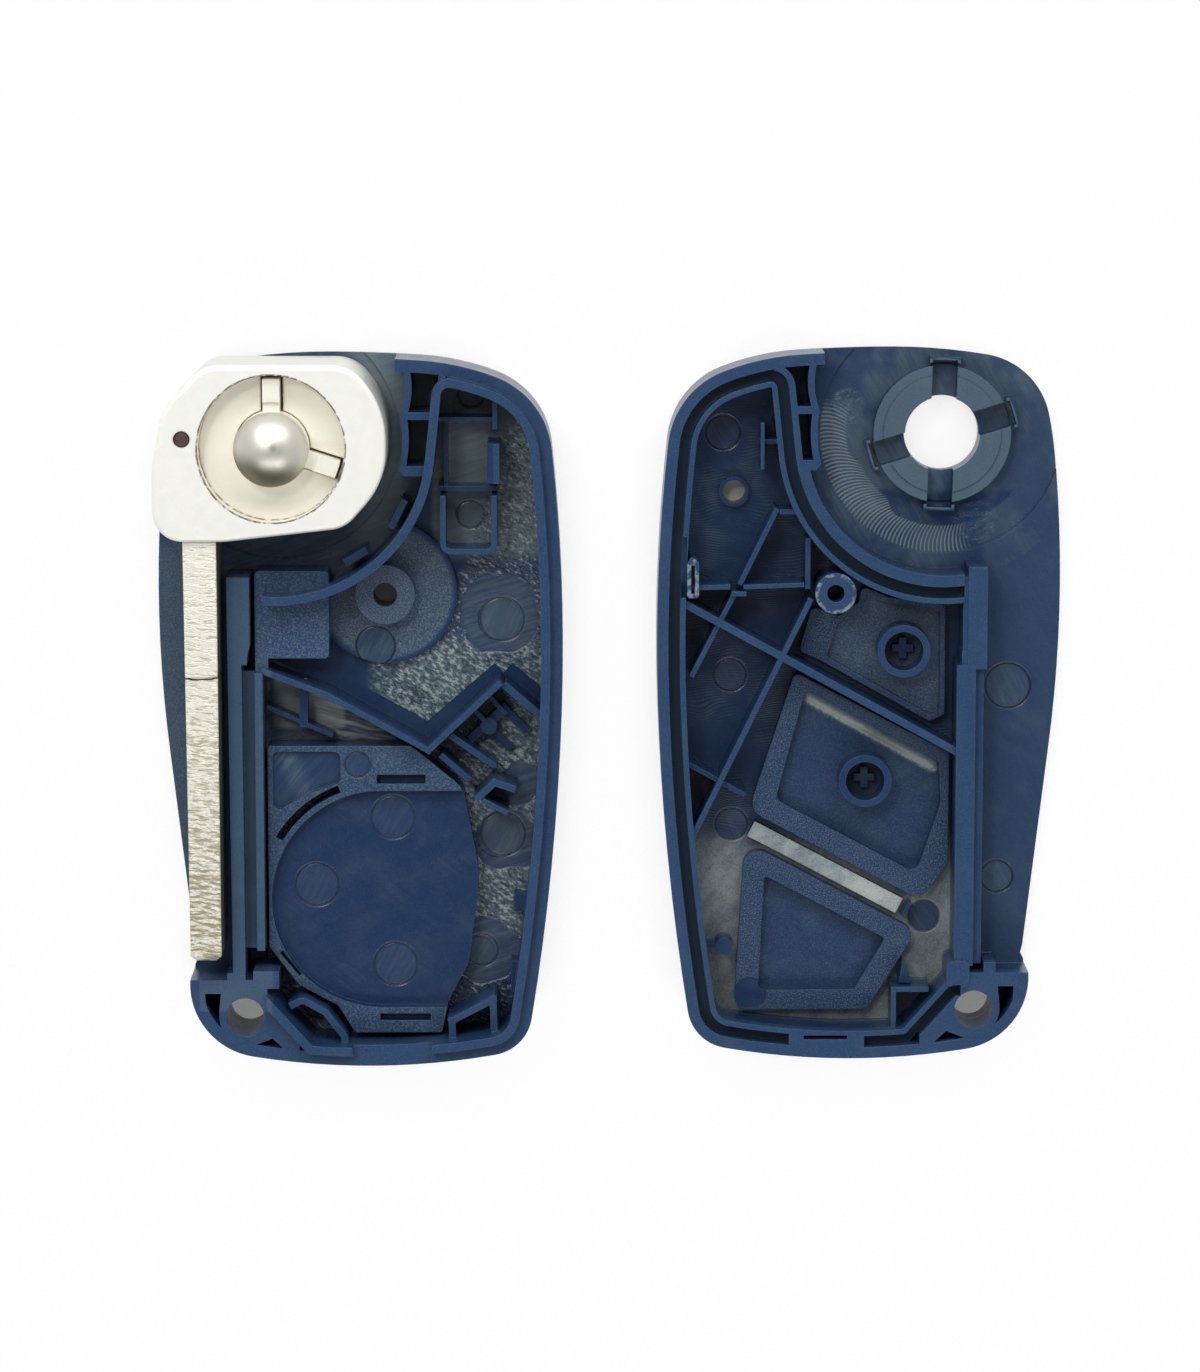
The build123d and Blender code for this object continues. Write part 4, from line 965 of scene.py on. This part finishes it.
def button_chrome(settings):
    """Dull chrome dome with painted reflections, an olive crescent on its lower side and a grey spot on top,
    over a warmer cup.
    """
    shader = Shader("button_chrome")
    place = shader.back_plan()
    u, v, z = shader.split(place)
    haze = shader.noise(place, scale=1.6, detail=3.0, roughness=0.6)
    colour = shader.blend(haze, settings.chrome, settings.haze)
    # Painted reflection: an olive crescent on the dome's lower side
    low = shader.rise(shader.add(v, (u, 0.25)), -0.3, -2.6)
    colour = shader.blend(shader.times(low, 0.85), colour, settings.dome_low_reflection)
    # Painted reflection of the camera: a grey spot at the dome's top
    spot = shader.disc(place, (0.3, 0.4), 0.35, 0.3)
    colour = shader.blend(shader.times(spot, 0.6), colour, settings.dome_spot_reflection)
    dome = shader.rise(z, HEAD_TOP - 0.5, HEAD_TOP + 0.1)
    colour = shader.blend(dome, settings.well, colour)
    cup_metallic, dome_metallic = 0.3, 1.0
    shader.coat(colour, shader.add(0.36, (haze, 0.1)), shader.weigh(dome, cup_metallic, dome_metallic))
    shader.relief(shader.times(shader.noise(place, scale=3.5), 1.2), shader.rounded(0.15 * MM))
    return shader.material


def spring_wire(settings):
    """Drawn steel of the coil."""
    shader = Shader("spring_wire")
    drawn = shader.noise(shader.back_plan(), scale=6.0)
    colour = shader.blend(drawn, settings.wire_pale, settings.wire_dark)
    shader.coat(colour, shader.add(0.25, (drawn, 0.15)), metallic=1.0)
    shader.relief(shader.times(drawn, 2.0))
    return shader.material


class KEYFOB_OT_key(bpy.types.Operator):
    """Finish the plated head, the blank and its pin"""

    bl_idname = "keyfob.key"
    bl_label = "Key"

    def execute(self, context):
        settings = context.scene.keyfob_metal
        give(["key_head"], plated_casting(settings))
        give(["key_blade"], milled_blank(settings))
        give(["blade_pin"], dull_pin(settings))
        return {"FINISHED"}


class KEYFOB_OT_release_button(bpy.types.Operator):
    """Finish the chromed release button and the coil under it"""

    bl_idname = "keyfob.release_button"
    bl_label = "Release Button"

    def execute(self, context):
        settings = context.scene.keyfob_metal
        give(["release_button"], button_chrome(settings))
        give(["hub_spring"], spring_wire(settings))
        return {"FINISHED"}


def looking(place, target):
    """A turn that looks from a place at a target, with the head end of the key towards the top."""
    back = (place - target).normalized()
    right = Vector((0, 1, 0)).cross(back).normalized()
    return Matrix((right, back.cross(right), back)).transposed()


def area_light(name, place, target, size, power):
    data = bpy.data.lights.new(name, "AREA")
    data.shape = "RECTANGLE"
    data.size, data.size_y = size
    data.energy = power
    lamp = bpy.data.objects.new(name, data)
    lamp.matrix_world = Matrix.Translation(place) @ looking(place, target).to_4x4()
    bpy.context.collection.objects.link(lamp)


def table_white(settings):
    """White to the camera and to glossy surfaces, but dark at the foot of walls, with painted shade under two
    holes.
    """
    shader = Shader("table_white")
    sky_share = shader.open_above(TABLE_SHADE_REACH)
    covered = shader.rise(sky_share, 0.9, 0.7)
    # Painted shade on the table under the light hole and under the screw hole
    hole = shader.times(covered, shader.disc(shader.front_plan(), LIGHT_HOLE, 2.0, 0.3))
    screw = shader.times(covered, shader.disc(shader.back_plan(), SCREW, 2.4, 0.3))
    shader.coat(shader.blend(hole, settings.table, settings.hole_shade), 0.9)
    ray = shader.node("ShaderNodeLightPath").outputs
    lift = shader.times(
        shader.pool(ray["Is Camera Ray"], ray["Is Glossy Ray"]),
        shader.rise(sky_share, 0.0, 0.2),
        shader.add(1.0, (screw, -1.0)),
        shader.add(1.0, (hole, -0.9)),
        0.96,
    )
    lifted = shader.node("ShaderNodeMixShader")
    shader.put(lift, lifted.inputs[0])
    shader.put(shader.surface.outputs["BSDF"], lifted.inputs[1])
    shader.put(shader.node("ShaderNodeEmission").outputs[0], lifted.inputs[2])
    shader.put(lifted.outputs[0], shader.output)
    return shader.material


def pale_floor(settings):
    """A flat table just under the part, which keeps a faint shadow."""
    corners = np.array([[-1, -1], [1, -1], [1, 1], [-1, 1]], float) * TABLE_REACH
    mesh = bpy.data.meshes.new("table")
    mesh.from_pydata([(x, y, -TABLE_GAP) for x, y in corners], [], [(0, 1, 2, 3)])
    mesh.materials.append(table_white(settings))
    table = bpy.data.objects.new("table", mesh)
    bpy.context.collection.objects.link(table)


def sky_light(strength):
    """Even light that is darker overhead, where the flats mirror it, and low on the foot side."""
    world = bpy.data.worlds.new("studio")
    bpy.context.scene.world = world
    world.use_nodes = True
    sky = Nodes(world.node_tree)
    direction = sky.node("ShaderNodeTexCoord").outputs["Generated"]
    overhead = sky.vector("DOT_PRODUCT", direction, (0.0, -sin(CAMERA_LEAN), cos(CAMERA_LEAN)))
    overhead = sky.rise(overhead, cos(PATCH_RIM), cos(PATCH_CORE))
    ahead = sky.rise(sky.split(direction)["Y"], -0.9, -0.3, kind="LINEAR")
    brightness = sky.times(sky.add(1.0, (overhead, -0.68)), sky.add(0.25, (ahead, 0.75)))
    background = sky.node("ShaderNodeBackground")
    sky.put(brightness, background.inputs["Color"])
    sky.put(strength, background.inputs["Strength"])
    sky.put(background.outputs[0], sky.node("ShaderNodeOutputWorld").inputs["Surface"])


class KEYFOB_OT_stage(bpy.types.Operator):
    """Set the table, the studio light and the camera of the photograph"""

    bl_idname = "keyfob.stage"
    bl_label = "Stage"

    def execute(self, context):
        settings = context.scene.keyfob_stage
        pale_floor(settings)
        sky_light(settings.sky)
        target = Vector(LAMP_TARGET)
        for name, lean, aside, size in LAMPS:
            ahead, up = sin(radians(lean)) * LAMP_DISTANCE, cos(radians(lean)) * LAMP_DISTANCE
            area_light(name, target + Vector((aside, ahead, up)), target, size, getattr(settings, name))
        self.add_camera(context, settings)
        return {"FINISHED"}

    def add_camera(self, context, settings):
        data = bpy.data.cameras.new("camera")
        aside, ahead = CAMERA_PLACE
        place = Vector((aside * MM, ahead * MM, settings.camera_height))
        target = Vector(CAMERA_TARGET) * MM
        data.lens = data.sensor_width * (place - target).length / settings.view_height
        data.clip_start = 0.01
        camera = bpy.data.objects.new("camera", data)
        camera.matrix_world = Matrix.Translation(place) @ looking(place, target).to_4x4()
        context.collection.objects.link(camera)
        context.scene.camera = camera
        context.scene.view_settings.view_transform = "Standard"


class KEYFOB_PT_panel(bpy.types.Panel):
    """Lists the finishing steps in the sidebar"""

    bl_idname = "KEYFOB_PT_panel"
    bl_label = "Key Fob Shell"
    bl_space_type = "VIEW_3D"
    bl_region_type = "UI"
    bl_category = "Key Fob"

    def draw(self, context):
        scene = context.scene
        for group in (scene.keyfob_plastic, scene.keyfob_metal, scene.keyfob_stage):
            box = self.layout.box()
            for name in group.__annotations__:
                box.prop(group, name)
        for operator in STEPS:
            self.layout.operator(operator.bl_idname)


STEPS = (
    KEYFOB_OT_back_half,
    KEYFOB_OT_front_half,
    KEYFOB_OT_button_caps,
    KEYFOB_OT_key,
    KEYFOB_OT_release_button,
    KEYFOB_OT_stage,
)
CLASSES = (PlasticSettings, MetalSettings, StageSettings, *STEPS, KEYFOB_PT_panel)


def register():
    for made in CLASSES:
        bpy.utils.register_class(made)
    bpy.types.Scene.keyfob_plastic = PointerProperty(type=PlasticSettings)
    bpy.types.Scene.keyfob_metal = PointerProperty(type=MetalSettings)
    bpy.types.Scene.keyfob_stage = PointerProperty(type=StageSettings)


def unregister():
    del bpy.types.Scene.keyfob_stage
    del bpy.types.Scene.keyfob_metal
    del bpy.types.Scene.keyfob_plastic
    for made in reversed(CLASSES):
        bpy.utils.unregister_class(made)


def main():
    register()
    bpy.ops.keyfob.back_half()
    bpy.ops.keyfob.front_half()
    bpy.ops.keyfob.button_caps()
    bpy.ops.keyfob.key()
    bpy.ops.keyfob.release_button()
    bpy.ops.keyfob.stage()


if __name__ == "__main__":
    main()
